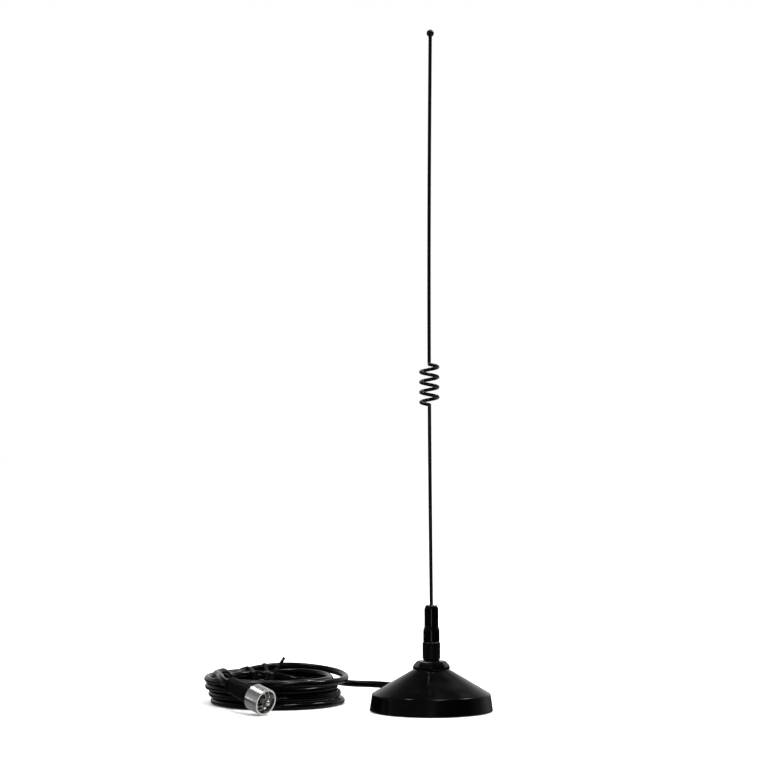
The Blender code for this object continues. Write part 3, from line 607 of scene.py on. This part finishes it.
def whip_points():
    """Up the axis, out to the front, round the phasing coil, back to the axis and up again."""
    joined = 0.07
    first = winding_point(joined)
    last = winding_point(WINDING_TURNS - joined)
    first_heading = winding_point(joined + 0.01) - first
    last_heading = last - winding_point(WINDING_TURNS - joined - 0.01)
    winding_top = WINDING_BOTTOM + WINDING_PITCH * WINDING_TURNS
    foot = on_axis(WINDING_BOTTOM - WINDING_BEND)
    head = on_axis(winding_top + WINDING_BEND)
    low_spoke = FORWARD * (0.5 * WINDING_RADIUS) + on_axis(WINDING_BOTTOM)
    high_spoke = FORWARD * (0.5 * WINDING_RADIUS) + on_axis(winding_top)
    tip = on_axis(TOTAL_HEIGHT - 2.0 * BALL_RADIUS + ROD_IN_BALL)

    points = [on_axis(ROD_BOTTOM), on_axis(FERRULE_TOP)]
    points += straight(points[-1], foot, 24)
    points += bend(foot, UP, low_spoke, FORWARD, 10, 0.5)
    points += bend(low_spoke, FORWARD, first, first_heading, 8)
    steps = 200
    points += [winding_point(mix(joined, WINDING_TURNS - joined, i / steps)) for i in range(1, steps + 1)]
    points += bend(last, last_heading, high_spoke, -FORWARD, 8)
    points += bend(high_spoke, -FORWARD, head, UP, 10, 0.5)
    points += straight(head, tip, 36)
    return [bowed(point) for point in points]


def make_whip():
    """The rod with its phasing coil, and the ball on its end, which has a bore for the rod."""
    piece("whip", tube(whip_points(), ROD_RADIUS, 24), "rod_finish", "rod", "whip_rod")
    bore = ROD_RADIUS + 0.15
    start = math.asin(bore / BALL_RADIUS)
    steps = 28
    angles = [mix(math.pi, start, i / steps) for i in range(steps + 1)]
    profile = [(BALL_RADIUS * math.sin(a), -BALL_RADIUS * math.cos(a)) for a in angles]
    profile[0] = (0.0, BALL_RADIUS)
    lip = profile[-1][1]
    profile += [(bore, lip + 0.15), (bore, -0.75), (bore - 0.1, -0.7), (0.0, -0.7)]
    offset = bowed(on_axis(TOTAL_HEIGHT)) - on_axis(BALL_RADIUS)
    matrix = Matrix.Translation(offset * MM)
    piece("ball", spun(profile, 48), "rod_finish", "rod", "ball_tip", frame_matrix=matrix)


def make_ferrule():
    """The stepped foot of the whip, bored for the rod and the stud, and the grub screw in its side."""
    thread_bore = STUD_RADIUS + 0.2
    rod_bore = ROD_RADIUS + 0.2
    neck = 5.1
    corners = [
        (0.0, ROD_BOTTOM - 0.6, 0.0),
        (rod_bore, ROD_BOTTOM - 0.6, 0.0),
        (rod_bore, FERRULE_TOP - 0.3, 0.0),
        (rod_bore + 0.3, FERRULE_TOP, 0.0),
        (3.75, FERRULE_TOP, 0.0),
        (4.2, FERRULE_TOP - 0.4, 0.2),
        (UPPER_RADIUS, FERRULE_TOP - 2.2, 0.9),
        (UPPER_RADIUS, 60.0, 0.8),
        (MIDDLE_RADIUS, 57.2, 0.8),
        (MIDDLE_RADIUS, GRIP_TOP + 0.3, 0.3),
        (neck, GRIP_TOP + 0.3, 0.0),
        (neck, FERRULE_BOTTOM, 0.0),
        (thread_bore + 0.4, FERRULE_BOTTOM, 0.0),
        (thread_bore, FERRULE_BOTTOM + 0.4, 0.0),
        (thread_bore, 49.0, 0.0),
        (0.0, 51.4, 0.0),
    ]
    ferrule = piece(
        "ferrule", spun(rounded(corners), 96), "ferrule_finish", "ferrule", "whip_ferrule"
    )
    screw_line = Matrix.Translation((0.0, 0.0, SET_SCREW_HEIGHT * MM))
    screw_line = screw_line @ Matrix.Rotation(SET_SCREW_AZIMUTH, 4, "Z")
    screw_line = screw_line @ Matrix.Rotation(math.pi / 2.0, 4, "Y")
    cut_from(ferrule, cylinder(SET_SCREW_RADIUS + 0.15, 0.3, 8.0), screw_line)

    inner = ROD_RADIUS + 0.3
    outer = UPPER_RADIUS - 0.35
    corners = [
        (0.0, inner, 0.0),
        (SET_SCREW_RADIUS - 0.4, inner, 0.0),
        (SET_SCREW_RADIUS, inner + 0.4, 0.0),
        (SET_SCREW_RADIUS, outer - 0.25, 0.1),
        (SET_SCREW_RADIUS - 0.25, outer, 0.1),
        (0.0, outer, 0.0),
    ]
    screw = piece(
        "grub_screw",
        spun(rounded(corners), 48),
        "black_oxide_steel",
        "set_screw",
        "set_screw",
        frame_matrix=screw_line,
    )
    cut_from(screw, cylinder(SET_SCREW_SOCKET, outer - 1.6, outer + 1.0, 6), screw_line)


def make_grip_ring():
    """The knurl is two crossing sets of fine grooves, which leave small diamond points."""
    inner = 5.4
    low = FERRULE_BOTTOM
    knurl_low = low + 0.9
    knurl_high = GRIP_TOP - 1.5
    teeth = 60
    rise = 0.55  # height that a groove climbs over one tooth
    groove = 0.11
    fade = 0.4
    rows = 44
    profile = [(inner, low), (GRIP_RADIUS - 0.45, low), (GRIP_RADIUS - 0.05, low + 0.5)]
    for i in range(rows + 1):
        profile.append((GRIP_RADIUS, mix(knurl_low, knurl_high, i / rows)))
    # the chamfered top edge, with a point close to each end of the chamfer to keep its shading flat
    profile += [
        (GRIP_RADIUS - 0.02, GRIP_TOP - 1.2),
        (GRIP_RADIUS - 0.06, GRIP_TOP - 0.65),
        (GRIP_RADIUS - 0.09, GRIP_TOP - 0.6),
        (GRIP_RADIUS - 0.14, GRIP_TOP - 0.555),
        (GRIP_RADIUS - 0.54, GRIP_TOP - 0.195),
        (GRIP_RADIUS - 0.59, GRIP_TOP - 0.15),
        (GRIP_RADIUS - 0.7, GRIP_TOP),
        (inner, GRIP_TOP),
    ]

    def knurl(radius, height, angle):
        if abs(radius - GRIP_RADIUS) > 0.01:
            return 0.0
        around = teeth * angle / math.tau
        up = (height - knurl_low) / (2.0 * rise)
        one = abs(2.0 * ((around + up) % 1.0) - 1.0)
        other = abs(2.0 * ((around - up) % 1.0) - 1.0)
        ramp = min(1.0, (height - knurl_low) / fade, (knurl_high - height) / fade)
        return -groove * ramp * (1.0 - min(one, other))

    piece("grip", spun(profile, 4 * teeth, knurl), "knurled_finish", "ferrule", "grip_ring", sharp=80.0)


def make_seal_ring():
    low = HUB_TOP + 0.2
    high = FERRULE_BOTTOM - 0.2
    corners = [(4.6, low, 0.0), (5.9, low, 0.3), (5.9, high, 0.3), (4.6, high, 0.0)]
    piece("seal", spun(rounded(corners), 64), "seal_rubber", "seal", "seal_ring")


def make_stud():
    """A threaded stud. Its thread starts and ends a little way in from its chamfered ends."""
    low, high = 16.5, 46.5
    rows = 190
    profile = [(0.0, low), (STUD_RADIUS - 0.6, low)]
    for i in range(rows + 1):
        profile.append((STUD_RADIUS, mix(low + 0.6, high - 0.7, i / rows)))
    profile += [(STUD_RADIUS - 0.7, high), (0.0, high)]
    relief = thread(STUD_RADIUS, STUD_PITCH, 0.5, low + 0.6, high - 0.7, 0.8)
    piece("stud", spun(profile, 40, relief), "zinc_plated_steel", "base", "mount_stud", sharp=60.0)


# ---- hub and base


def octagon(bm, corner_radius, height):
    ring = []
    for i in range(HUB_SIDES):
        angle = -math.pi / 2.0 + math.tau * i / HUB_SIDES
        ring.append(bm.verts.new(polar(corner_radius, angle, height)))
    return ring


def make_hub():
    """Eight sides with a corner at the front, a faceted chamfer, softened edges and a stepped bore."""
    bm = bmesh.new()
    rings = [
        octagon(bm, HUB_CORNER_RADIUS, HUB_BOTTOM),
        octagon(bm, HUB_CORNER_RADIUS, HUB_SHOULDER),
        octagon(bm, HUB_TOP_CORNER_RADIUS, HUB_TOP),
    ]
    bm.faces.new(rings[0])
    bm.faces.new(rings[-1])
    for low, high in zip(rings, rings[1:]):
        for i in range(HUB_SIDES):
            j = (i + 1) % HUB_SIDES
            bm.faces.new((low[i], low[j], high[j], high[i]))
    bmesh.ops.bevel(
        bm,
        geom=list(bm.edges),
        offset=HUB_SOFTENING,
        segments=4,
        profile=0.5,
        affect="EDGES",
        clamp_overlap=True,
    )
    hub = piece("hub", bm, "hub_plastic", "base", "octagon_hub", sharp=30.0)
    stepped = [
        (0.0, HUB_BOTTOM - 1.0),
        (STUD_HOLE_RADIUS, HUB_BOTTOM - 1.0),
        (STUD_HOLE_RADIUS, 34.0),
        (STUD_RADIUS + 0.4, 34.0),
        (STUD_RADIUS + 0.4, HUB_TOP + 1.0),
        (0.0, HUB_TOP + 1.0),
    ]
    cut_from(hub, spun(stepped, 64), Matrix.Identity(4))


def exit_line():
    """A place on the whip's axis whose Z points along the lead where it leaves the shell."""
    line = Matrix.Translation((0.0, 0.0, EXIT_HEIGHT * MM)) @ Matrix.Rotation(EXIT_ANGLE, 4, "Z")
    return line @ Matrix.Rotation(math.pi / 2.0, 4, "Y")


def make_base():
    """The conical shell with its flared skirt and the lead's hole, and the pad below."""
    wall = 1.6
    slope = Vector((SHOULDER_RADIUS - SHELL_TOP_RADIUS, SHOULDER_HEIGHT - SHELL_TOP)).normalized()
    inner_top = SHELL_TOP_RADIUS + slope.y * wall
    corners = [
        (STUD_HOLE_RADIUS, SHELL_TOP - 1.7, 0.0),
        (inner_top, SHELL_TOP - 1.7, 0.0),
        (40.45, 11.0, 0.0),
        (SKIRT_RADIUS - 1.7, 0.4, 0.0),
        (SKIRT_RADIUS, 0.4, 0.7),
        (SHOULDER_RADIUS, SHOULDER_HEIGHT, 1.1),
        (SHELL_TOP_RADIUS, SHELL_TOP, 0.8),
        (STUD_HOLE_RADIUS, SHELL_TOP, 0.0),
    ]
    shell = piece("shell", spun(rounded(corners), 256), "shell_paint", "base", "base_shell")
    cut_from(shell, cylinder(3.5, 24.0, 46.0), exit_line())
    make_grommet()
    pad = [(0.0, 0.0), (40.7, 0.0), (40.9, 0.1), (41.0, 0.3), (41.0, 0.65), (40.85, 0.8), (0.0, 0.8)]
    piece("pad", spun(pad, 128), "pad_rubber", "base", "floor_pad")


def make_grommet():
    """A sleeve in the shell's hole, trimmed to stand a little proud of the slope."""
    sleeve = [(2.7, 27.0), (3.25, 27.0), (3.25, 42.0), (2.7, 42.0)]
    grommet = piece(
        "grommet",
        spun(divided(sleeve, 0.8), 64),
        "seal_rubber",
        "base",
        "cable_grommet",
        frame_matrix=exit_line(),
    )
    proud = 0.9
    fall = (SHELL_TOP - SHOULDER_HEIGHT) / (SHOULDER_RADIUS - SHELL_TOP_RADIUS)
    near, far, top = 20.0, 50.0, 40.0
    outside = [
        (near, SHELL_TOP + proud - (near - SHELL_TOP_RADIUS) * fall),
        (far, SHELL_TOP + proud - (far - SHELL_TOP_RADIUS) * fall),
        (far, top),
        (near, top),
    ]
    cut_from(grommet, spun(outside, 128), Matrix.Identity(4))


# ---- the coiled lead


def level(index, column):
    """A loop as (centre x, centre y, radius, height). Column 0 is the outer one."""
    x, y, radius = LEVELS[index]
    height = CABLE_RADIUS + 0.02 + LEVEL_PITCH * index
    return x, y, radius - COLUMN_PITCH * column, height


def coil_laps():
    """Up the outer column, down the middle one and up the inner one."""
    laps = [level(i, 0) for i in range(3)]
    laps.append((*LOOSE_TOP_LOOP, level(3, 0)[3]))
    laps += [level(i, 1) for i in (3, 2, 1, 0)]
    laps += [level(i, 2) for i in (1, 2, 3)]
    return laps


def on_loop(lap, angle):
    x, y, radius, height = lap
    turn = math.radians(angle)
    return Vector((x + radius * math.cos(turn), y + radius * math.sin(turn), height))


def drifted(laps, index, angle):
    """A lap as it is at an angle. The lowest middle loop moves in to become the inner column's."""
    x, y, radius, height = laps[index]
    if index == LOWEST_MIDDLE_LAP:
        radius -= COLUMN_PITCH * smooth_step((angle - DRIFT_START) / DRIFT_SPAN)
    return x, y, radius, height


def coil_point(laps, total_angle):
    index = int((total_angle - SHIFT_START) // 360.0)
    angle = total_angle - 360.0 * index
    lap = drifted(laps, index, angle)
    if angle < SHIFT_START + SHIFT_SPAN and index > 0:
        before = drifted(laps, index - 1, angle + 360.0)
        t = smooth_step((angle - SHIFT_START) / SHIFT_SPAN)
        lap = tuple(mix(a, b, t) for a, b in zip(before, lap))
    point = on_loop(lap, angle)
    point.z += SLACK * (point.z - CABLE_RADIUS) * hump((angle - SHIFT_START) / SHIFT_SPAN)
    for turn, rise in LOOP_RISES.items():
        point.z += rise * hump((total_angle - 360.0 * turn - RISE_START) / RISE_SPAN)
    return point


def feed_point(laps, angle):
    """The lead's first half loop, outside the coil, down to the floor at the back."""
    sideways = smooth_step((angle - FEED_SIDEWAYS_START) / FEED_SIDEWAYS_SPAN)
    down = smooth_step((angle - FEED_ANGLE) / FEED_SPAN)
    x, y, radius = (mix(a, b, sideways) for a, b in zip(FEED_LOOP, laps[0]))
    return on_loop((x, y, radius, mix(FEED_HEIGHT, laps[0][3], down)), angle)


def leave_point(laps, angle):
    """The last loop climbs over the others on its way to the plug."""
    x, y, radius, height = laps[-1]
    wider = smooth_step((angle - LEAVE_WIDEN_START) / LEAVE_WIDEN_SPAN)
    climb = smooth_step((angle - LEAVE_CLIMB_START) / LEAVE_CLIMB_SPAN)
    radius = mix(radius, LEAVE_RADIUS, wider)
    height += (LEVEL_PITCH + 0.1) * climb
    return on_loop((x, y, radius, height), angle)


def plug_place(distance_behind_mouth):
    return PLUG_MOUTH - PLUG_AIM * distance_behind_mouth


def radial(distance, height=0.0):
    """A place on the line on which the lead leaves, counted from the whip's axis."""
    return polar(distance, EXIT_ANGLE, height)


def cable_points():
    """The whole lead, from inside the base, round the coil and into the plug."""
    laps = coil_laps()
    feed_steps = round(FEED_ARC / COIL_STEP)
    feed = [feed_point(laps, FEED_ANGLE + COIL_STEP * i) for i in range(feed_steps + 1)]
    start = [radial(d, EXIT_HEIGHT) for d in (JACKET_START, 22.0, 27.0, 32.0, 38.5)]
    points = start + bend(start[-1], radial(1.0), feed[0], feed[1] - feed[0], 30)
    points += feed[1:]
    angle = FEED_ANGLE + COIL_STEP * (feed_steps + 1)
    last = 360.0 * (len(laps) - 1) + SHIFT_START + SHIFT_SPAN
    while angle < last + 0.1:
        points.append(coil_point(laps, angle))
        angle += COIL_STEP
    angle -= 360.0 * (len(laps) - 1)
    while angle < LEAVE_ANGLE + 0.1:
        points.append(leave_point(laps, angle))
        angle += COIL_STEP
    end = plug_place(BOOT_END + 2.0)
    points += bend(points[-1], points[-1] - points[-2], end, PLUG_AIM, 30)
    return points + [plug_place(BOOT_END - 4.0), plug_place(BOOT_END - 9.0), plug_place(18.0)]


def make_cable(points):
    sides = 20
    cable = piece("cable", tube(points, CABLE_RADIUS, sides), "cable_jacket", "base", "coax_cable")
    store_run(cable, points, CABLE_RADIUS, sides)


# ---- twist ties


def strands_at(points, angle):
    """Where the lead crosses the upright half-plane at this angle, as (distance, height)."""
    out = polar(1.0, angle)
    across = UP.cross(out)
    found = []
    for a, b in zip(points, points[1:]):
        before = (a - COIL_CENTRE).dot(across)
        after = (b - COIL_CENTRE).dot(across)
        if before * after > 0.0 or before == after:
            continue
        crossing = a.lerp(b, before / (before - after))
        distance = (crossing - COIL_CENTRE).dot(out)
        if 20.0 < distance < 70.0:
            found.append((distance, crossing.z))
    return found


def wrap_outline(strands):
    """The outline of a taut band round the strands, as (distance, height, outward pair)."""
    reach = CABLE_RADIUS + TIE_CLEARANCE
    directions = [math.tau * i / 48 for i in range(48)]
    candidates = []
    for distance, height in strands:
        for turn in directions:
            away = (math.cos(turn), math.sin(turn))
            candidates.append((distance + reach * away[0], height + reach * away[1], away))
    candidates.sort(key=lambda point: (point[0], point[1]))
    return half_hull(candidates) + half_hull(candidates[::-1])


def half_hull(candidates):
    """The lower side of the convex outline of points in order of their distance."""
    hull = []
    for point in candidates:
        while len(hull) > 1:
            (ax, ay, _), (bx, by, _) = hull[-2:]
            if (bx - ax) * (point[1] - ay) - (by - ay) * (point[0] - ax) > 1e-6:
                break
            hull.pop()
        hull.append(point)
    return hull[:-1]


def inner_side(outline, height):
    """How far from the coil's centre the band's inner side stands at a height."""
    crossings = []
    for (near, low, _), (far, high, _) in zip(outline, outline[1:] + outline[:1]):
        if (low - height) * (high - height) < 0.0:
            crossings.append(mix(near, far, (height - low) / (high - low)))
    return min(crossings)


# Half of the ribbon's section, as (sideways, outward): a thin wing and a ridge over the wire.
RIBBON = ((1.5, 0.0), (1.5, 0.16), (1.42, 0.22), (0.5, 0.24), (0.32, 0.44), (0.0, 0.52))


def ribbon_section():
    right = list(RIBBON)
    left = [(-across, out) for across, out in reversed(RIBBON[:-1])]
    return right + left


def make_twist_tie(name, node, points, angle_degrees, knot_height, tail_lean):
    """A ribbon round the loops, and its twisted tail, which stands up inside the coil."""
    angle = math.radians(angle_degrees)
    out = polar(1.0, angle)
    across = UP.cross(out)
    outline = wrap_outline(strands_at(points, angle))
    sections = []
    for distance, height, away in outline:
        inner = COIL_CENTRE + out * distance + on_axis(height)
        outward = out * away[0] + UP * away[1]
        sections.append([inner + across * s + outward * t for s, t in ribbon_section()])
    piece(name, swept(sections, wrap=True), "tie_plastic", "base", node)
    root = COIL_CENTRE + out * (inner_side(outline, knot_height) - 0.75) + on_axis(knot_height)
    make_tail(name + "_tail", node, root, out, tail_lean)


def make_tail(name, node, root, out, lean):
    """Two ribbons twisted round each other: a pinched bar that turns as it rises."""
    steps = 60
    turns = 3.0
    outline = ((-1.15, 0.4), (-0.75, 0.9), (0.0, 0.72), (0.75, 0.9), (1.15, 0.4))
    section = list(outline) + [(-x, -y) for x, y in outline]
    heading = lean.normalized()
    side = heading.cross(out).normalized()
    over = side.cross(heading)
    sections = []
    for i in range(steps + 1):
        t = i / steps
        centre = root + lean * t - out * (0.6 * math.sin(math.pi * t))
        turn = math.tau * turns * t
        wide = side * math.cos(turn) + over * math.sin(turn)
        thin = heading.cross(wide)
        sections.append([centre + wide * w + thin * h for w, h in section])
    piece(name, swept(sections), "tie_plastic", "base", node)


# ---- plug


def plug_matrix():
    """Puts the plug's pieces in place: their Z runs back from the middle of the ring's mouth."""
    rotation = (-PLUG_AIM).to_track_quat("Z", "Y").to_matrix().to_4x4()
    return Matrix.Translation(PLUG_MOUTH * MM) @ rotation


def plug_piece(name, bm, slot, body, node):
    return piece(name, bm, slot, body, node, frame_matrix=plug_matrix())


def make_coupling_ring():
    """The plug's smooth ring, with its thread inside and an inward lip at the back."""
    thread_low, thread_high = 3.2, 9.3
    rows = 56
    inside = [(RING_BORE + 0.35, 0.45)]
    inside += [(RING_BORE, mix(thread_low, thread_high, i / rows)) for i in range(rows + 1)]
    inside += [(RING_BORE, 9.8), (6.6, 9.8), (6.6, RING_LENGTH)]
    corners = [
        (6.6, RING_LENGTH, 0.0),
        (RING_RADIUS, RING_LENGTH, 0.5),
        (RING_RADIUS, 0.0, 0.35),
        (8.25, 0.0, 0.0),
    ]
    outside = rounded(corners)
    relief = thread(RING_BORE, RING_THREAD_PITCH, -0.42, thread_low, thread_high, 1.5)
    profile = outside + inside[:-1]
    plug_piece("nickel_ring", spun(profile, 120, relief), "nickel_plate", "coupling_ring", "coupling_ring")


def make_plug_body():
    """The fixed barrel with its four notches, the resin disc in it, and the round-nosed pin."""
    corners = [
        (4.6, 13.6, 0.0),
        (4.6, 5.6, 0.15),
        (6.2, 5.6, 0.3),
        (6.2, 8.2, 0.0),
        (7.4, 8.2, 0.15),
        (7.4, 9.5, 0.15),
        (6.3, 9.5, 0.0),
        (6.3, 21.0, 0.2),
        (3.95, 21.0, 0.0),
        (3.95, 13.6, 0.0),
    ]
    body = plug_piece("plug_shell", spun(rounded(corners), 96), "nickel_plate", "base", "plug_body")
    for i in range(4):
        turn = Matrix.Rotation(math.radians(45.0 + 90.0 * i), 4, "Z")
        cut_from(body, box_mesh((3.5, -0.8, 4.0), (7.0, 0.8, 6.6)), plug_matrix() @ turn)
    corners = [(2.2, 6.8, 0.1), (4.4, 6.8, 0.15), (4.4, 13.3, 0.0), (2.2, 13.3, 0.0)]
    plug_piece("plug_dielectric", spun(rounded(corners), 64), "phenolic", "base", "plug_insulator")
    radius = 1.98
    nose = -3.0  # it stands proud of the coupling ring
    nose_length = 1.4
    steps = 10
    pin = [(0.0, nose)]
    for i in range(1, steps + 1):
        angle = math.radians(90.0 / steps * i)
        pin.append((radius * math.sin(angle), nose + nose_length * (1.0 - math.cos(angle))))
    pin += [(radius, 15.4), (0.75, 15.4), (0.75, 3.8), (0.0, 3.8)]
    plug_piece("plug_pin", spun(pin, 48), "nickel_plate", "base", "centre_pin")


def make_boot():
    """A tapered sleeve, drawn in a little unevenly over the plug, with a rolled rim."""
    rim = BOOT_END - 0.8
    corners = [
        (6.6, BOOT_START, 0.0),
        (7.05, BOOT_START, 0.25),
        (6.95, 17.0, 6.0),
        (5.72, BOOT_END - 2.5, 0.8),
        (6.3, rim - 0.5, 0.35),
        (6.3, BOOT_END, 0.45),
        (2.8, BOOT_END, 0.3),
        (2.8, 28.0, 0.0),
        (5.45, 27.3, 0.0),
        (5.6, 22.0, 0.0),
        (6.6, 21.6, 0.0),
    ]

    def shrink(radius, height, angle):
        """Shallow waves on the outside of the sleeve."""
        if radius < 5.6 or height < BOOT_START + 0.6 or height > BOOT_END - 3.2:
            return 0.0
        return 0.03 * math.sin(3.0 * angle + 0.4 * height) + 0.02 * math.sin(1.3 * height)

    profile = divided(rounded(corners), 1.0)
    plug_piece("sleeve", spun(profile, 72, shrink), "boot_sleeve", "base", "plug_boot")


def divided(profile, longest):
    """Adds points to a profile so that no side of it is longer than a length."""
    points = []
    for a, b in zip(profile, profile[1:] + profile[:1]):
        length = math.hypot(b[0] - a[0], b[1] - a[1])
        count = max(1, math.ceil(length / longest))
        points += [(mix(a[0], b[0], i / count), mix(a[1], b[1], i / count)) for i in range(count)]
    return points


# ---- pieces kept from the CAD part


def dress_cad_nodes():
    """Gives the CAD nodes that still show the finish of their own slot."""
    for subpart in frame["record"]["subparts"]:
        node = frame["nodes"][subpart["node"]]
        for material_slot in node.material_slots:
            material_slot.material = FINISHES[subpart["material_slot"]]


# ---- studio

FLOOR_TONE = 0.84
FLOOR_RADIUS = 6.0
DOME_GLOW = 1.3
BACKDROP_RADIUS = 6.5
BACKDROP_GLOW = 1.0


def plain_material(name, colour, glow=0.0):
    """A pale surface with a faint unevenness, lit a little from itself."""
    shader = Shader(name, roughness=0.9, specular=0.0)
    cloud = shader.noise(shader.place(), 3.0)
    shader.colour(shader.mix(cloud, (colour, colour, colour), (colour * 0.98,) * 3))
    shader.surface.inputs["Emission Color"].default_value = (1.0, 1.0, 1.0, 1.0)
    shader.surface.inputs["Emission Strength"].default_value = glow
    return shader.material


def make_stage():
    """A pale floor inside a dome that lights it, and a plain white backdrop behind that dome.

    Reflections see the soft gradient of the world instead.
    """
    bm = bmesh.new()
    bmesh.ops.create_circle(bm, cap_ends=True, segments=96, radius=FLOOR_RADIUS)
    add_stage("studio_floor", bm, plain_material("floor_paper", FLOOR_TONE))
    cloth = plain_material("dome_cloth", 0.0, DOME_GLOW)
    dome = add_stage("studio_dome", dome_mesh(FLOOR_RADIUS), cloth)
    dome.visible_camera = False
    white = plain_material("backdrop", 0.0, BACKDROP_GLOW)
    backdrop = add_stage("studio_backdrop", dome_mesh(BACKDROP_RADIUS), white)
    backdrop.visible_diffuse = False
    backdrop.visible_shadow = False


def dome_mesh(radius):
    bm = bmesh.new()
    bmesh.ops.create_uvsphere(bm, u_segments=64, v_segments=32, radius=radius)
    bmesh.ops.reverse_faces(bm, faces=bm.faces)
    return bm


def add_stage(name, bm, surface):
    """Adds a piece of the studio. Reflections don't see it."""
    mesh = bpy.data.meshes.new(name)
    bm.to_mesh(mesh)
    bm.free()
    mesh.materials.append(surface)
    mesh.shade_smooth()
    obj = bpy.data.objects.new(name, mesh)
    bpy.context.scene.collection.objects.link(obj)
    obj.visible_glossy = False
    return obj


def make_world():
    """What glossy surfaces see: a floor that is bright at the right, a bright low backdrop, grey
    walls, a dark ceiling and a dark corner at the front right.
    """
    world = bpy.data.worlds.new("studio")
    world.use_nodes = True
    nodes = world.node_tree.nodes
    links = world.node_tree.links
    direction = nodes.new("ShaderNodeTexCoord")
    split = nodes.new("ShaderNodeSeparateXYZ")
    links.new(direction.outputs["Generated"], split.inputs["Vector"])

    def ramp(axis, *limits):
        return smooth_ramp(world.node_tree, split.outputs[axis], *limits)

    def combine(operation, first, second):
        node = nodes.new("ShaderNodeMath")
        node.operation = operation
        links.new(first, node.inputs[0])
        links.new(second, node.inputs[1])
        return node.outputs["Value"]

    above = ramp("Z", -0.08, 0.03, 0.0, 1.0)
    walls = combine("MULTIPLY", above, ramp("Z", 0.3, 0.9, 0.36, 0.1))
    not_corner = combine("MAXIMUM", ramp("X", 0.08, 0.28, 1.0, 0.08), ramp("Y", -0.2, 0.1, 0.08, 1.0))
    walls = combine("MULTIPLY", walls, not_corner)
    backdrop = combine("MULTIPLY", ramp("Y", 0.0, 0.6, 0.0, 1.0), ramp("Z", 0.2, 0.85, 0.9, 0.08))
    backdrop = combine("MULTIPLY", above, backdrop)
    floor = combine("MULTIPLY", ramp("Z", -0.4, -0.13, 0.95, 0.0), ramp("X", 0.1, 0.6, 0.3, 1.0))
    total = combine("MAXIMUM", combine("MAXIMUM", walls, backdrop), floor)
    background = nodes["Background"]
    links.new(total, background.inputs["Strength"])
    background.inputs["Color"].default_value = (1.0, 1.0, 1.0, 1.0)
    world.cycles_visibility.diffuse = False
    bpy.context.scene.world = world


LAMP_TARGET = Vector((-0.03, 0.0, 0.05))
LAMPS = (
    # name, direction from the object, distance, width, height, brightness; lengths are in metres
    ("lamp_above", (0.17, 0.03, 0.985), 1.6, 0.2, 0.2, 110.0),
    ("lamp_left", (-0.347, 0.14, 0.927), 1.6, 0.16, 0.16, 110.0),
    ("lamp_right", (0.485, 0.379, 0.788), 1.7, 0.2, 0.2, 90.0),
    ("lamp_high_front", (0.19, -0.6, 0.78), 1.6, 0.2, 0.2, 30.0),
    ("lamp_back", (-0.07, 0.63, 0.77), 1.8, 0.2, 0.12, 1.2),
    ("lamp_side", (-1.0, -0.04, 0.02), 1.8, 0.25, 0.25, 1.5),
    ("lamp_front", (0.0, -1.0, -0.04), 2.4, 0.4, 0.4, 9.0),
)


def make_lamps():
    """Small soft lamps for the highlights. Each faces the object."""
    for name, direction, distance, width, height, brightness in LAMPS:
        data = bpy.data.lights.new(name, "AREA")
        data.shape = "RECTANGLE"
        data.size = width
        data.size_y = height
        data.energy = brightness * math.pi * width * height
        lamp = bpy.data.objects.new(name, data)
        bpy.context.scene.collection.objects.link(lamp)
        away = Vector(direction).normalized()
        lamp.location = LAMP_TARGET + away * distance
        lamp.rotation_mode = "QUATERNION"
        lamp.rotation_quaternion = away.to_track_quat("Z", "Y")
        lamp.visible_camera = False


CAMERA_PLACE = (-0.0346, -2.0, 0.233)
FOCAL_LENGTH = 132.9
SENSOR_WIDTH = 36.0


def make_camera():
    data = bpy.data.cameras.new("camera")
    data.sensor_width = SENSOR_WIDTH
    data.lens = FOCAL_LENGTH
    data.clip_start = 0.01
    data.clip_end = 50.0
    camera = bpy.data.objects.new("camera", data)
    camera.location = CAMERA_PLACE
    camera.rotation_euler = (math.pi / 2.0, 0.0, 0.0)
    bpy.context.scene.collection.objects.link(camera)
    bpy.context.scene.camera = camera


def main():
    dress_cad_nodes()
    make_whip()
    make_ferrule()
    make_grip_ring()
    make_seal_ring()
    make_stud()
    make_hub()
    make_base()
    lead = cable_points()
    make_cable(lead)
    make_twist_tie("tie_left", "twist_tie_left", lead, 121.0, 11.0, Vector((3.0, -1.0, 7.0)))
    make_twist_tie("tie_back", "twist_tie_back", lead, 103.0, 11.0, Vector((12.0, 1.0, 19.0)))
    make_coupling_ring()
    make_plug_body()
    make_boot()
    make_stage()
    make_world()
    make_lamps()
    make_camera()
    bpy.context.scene.view_settings.view_transform = "Standard"


main()
bpy.context.view_layer.update()
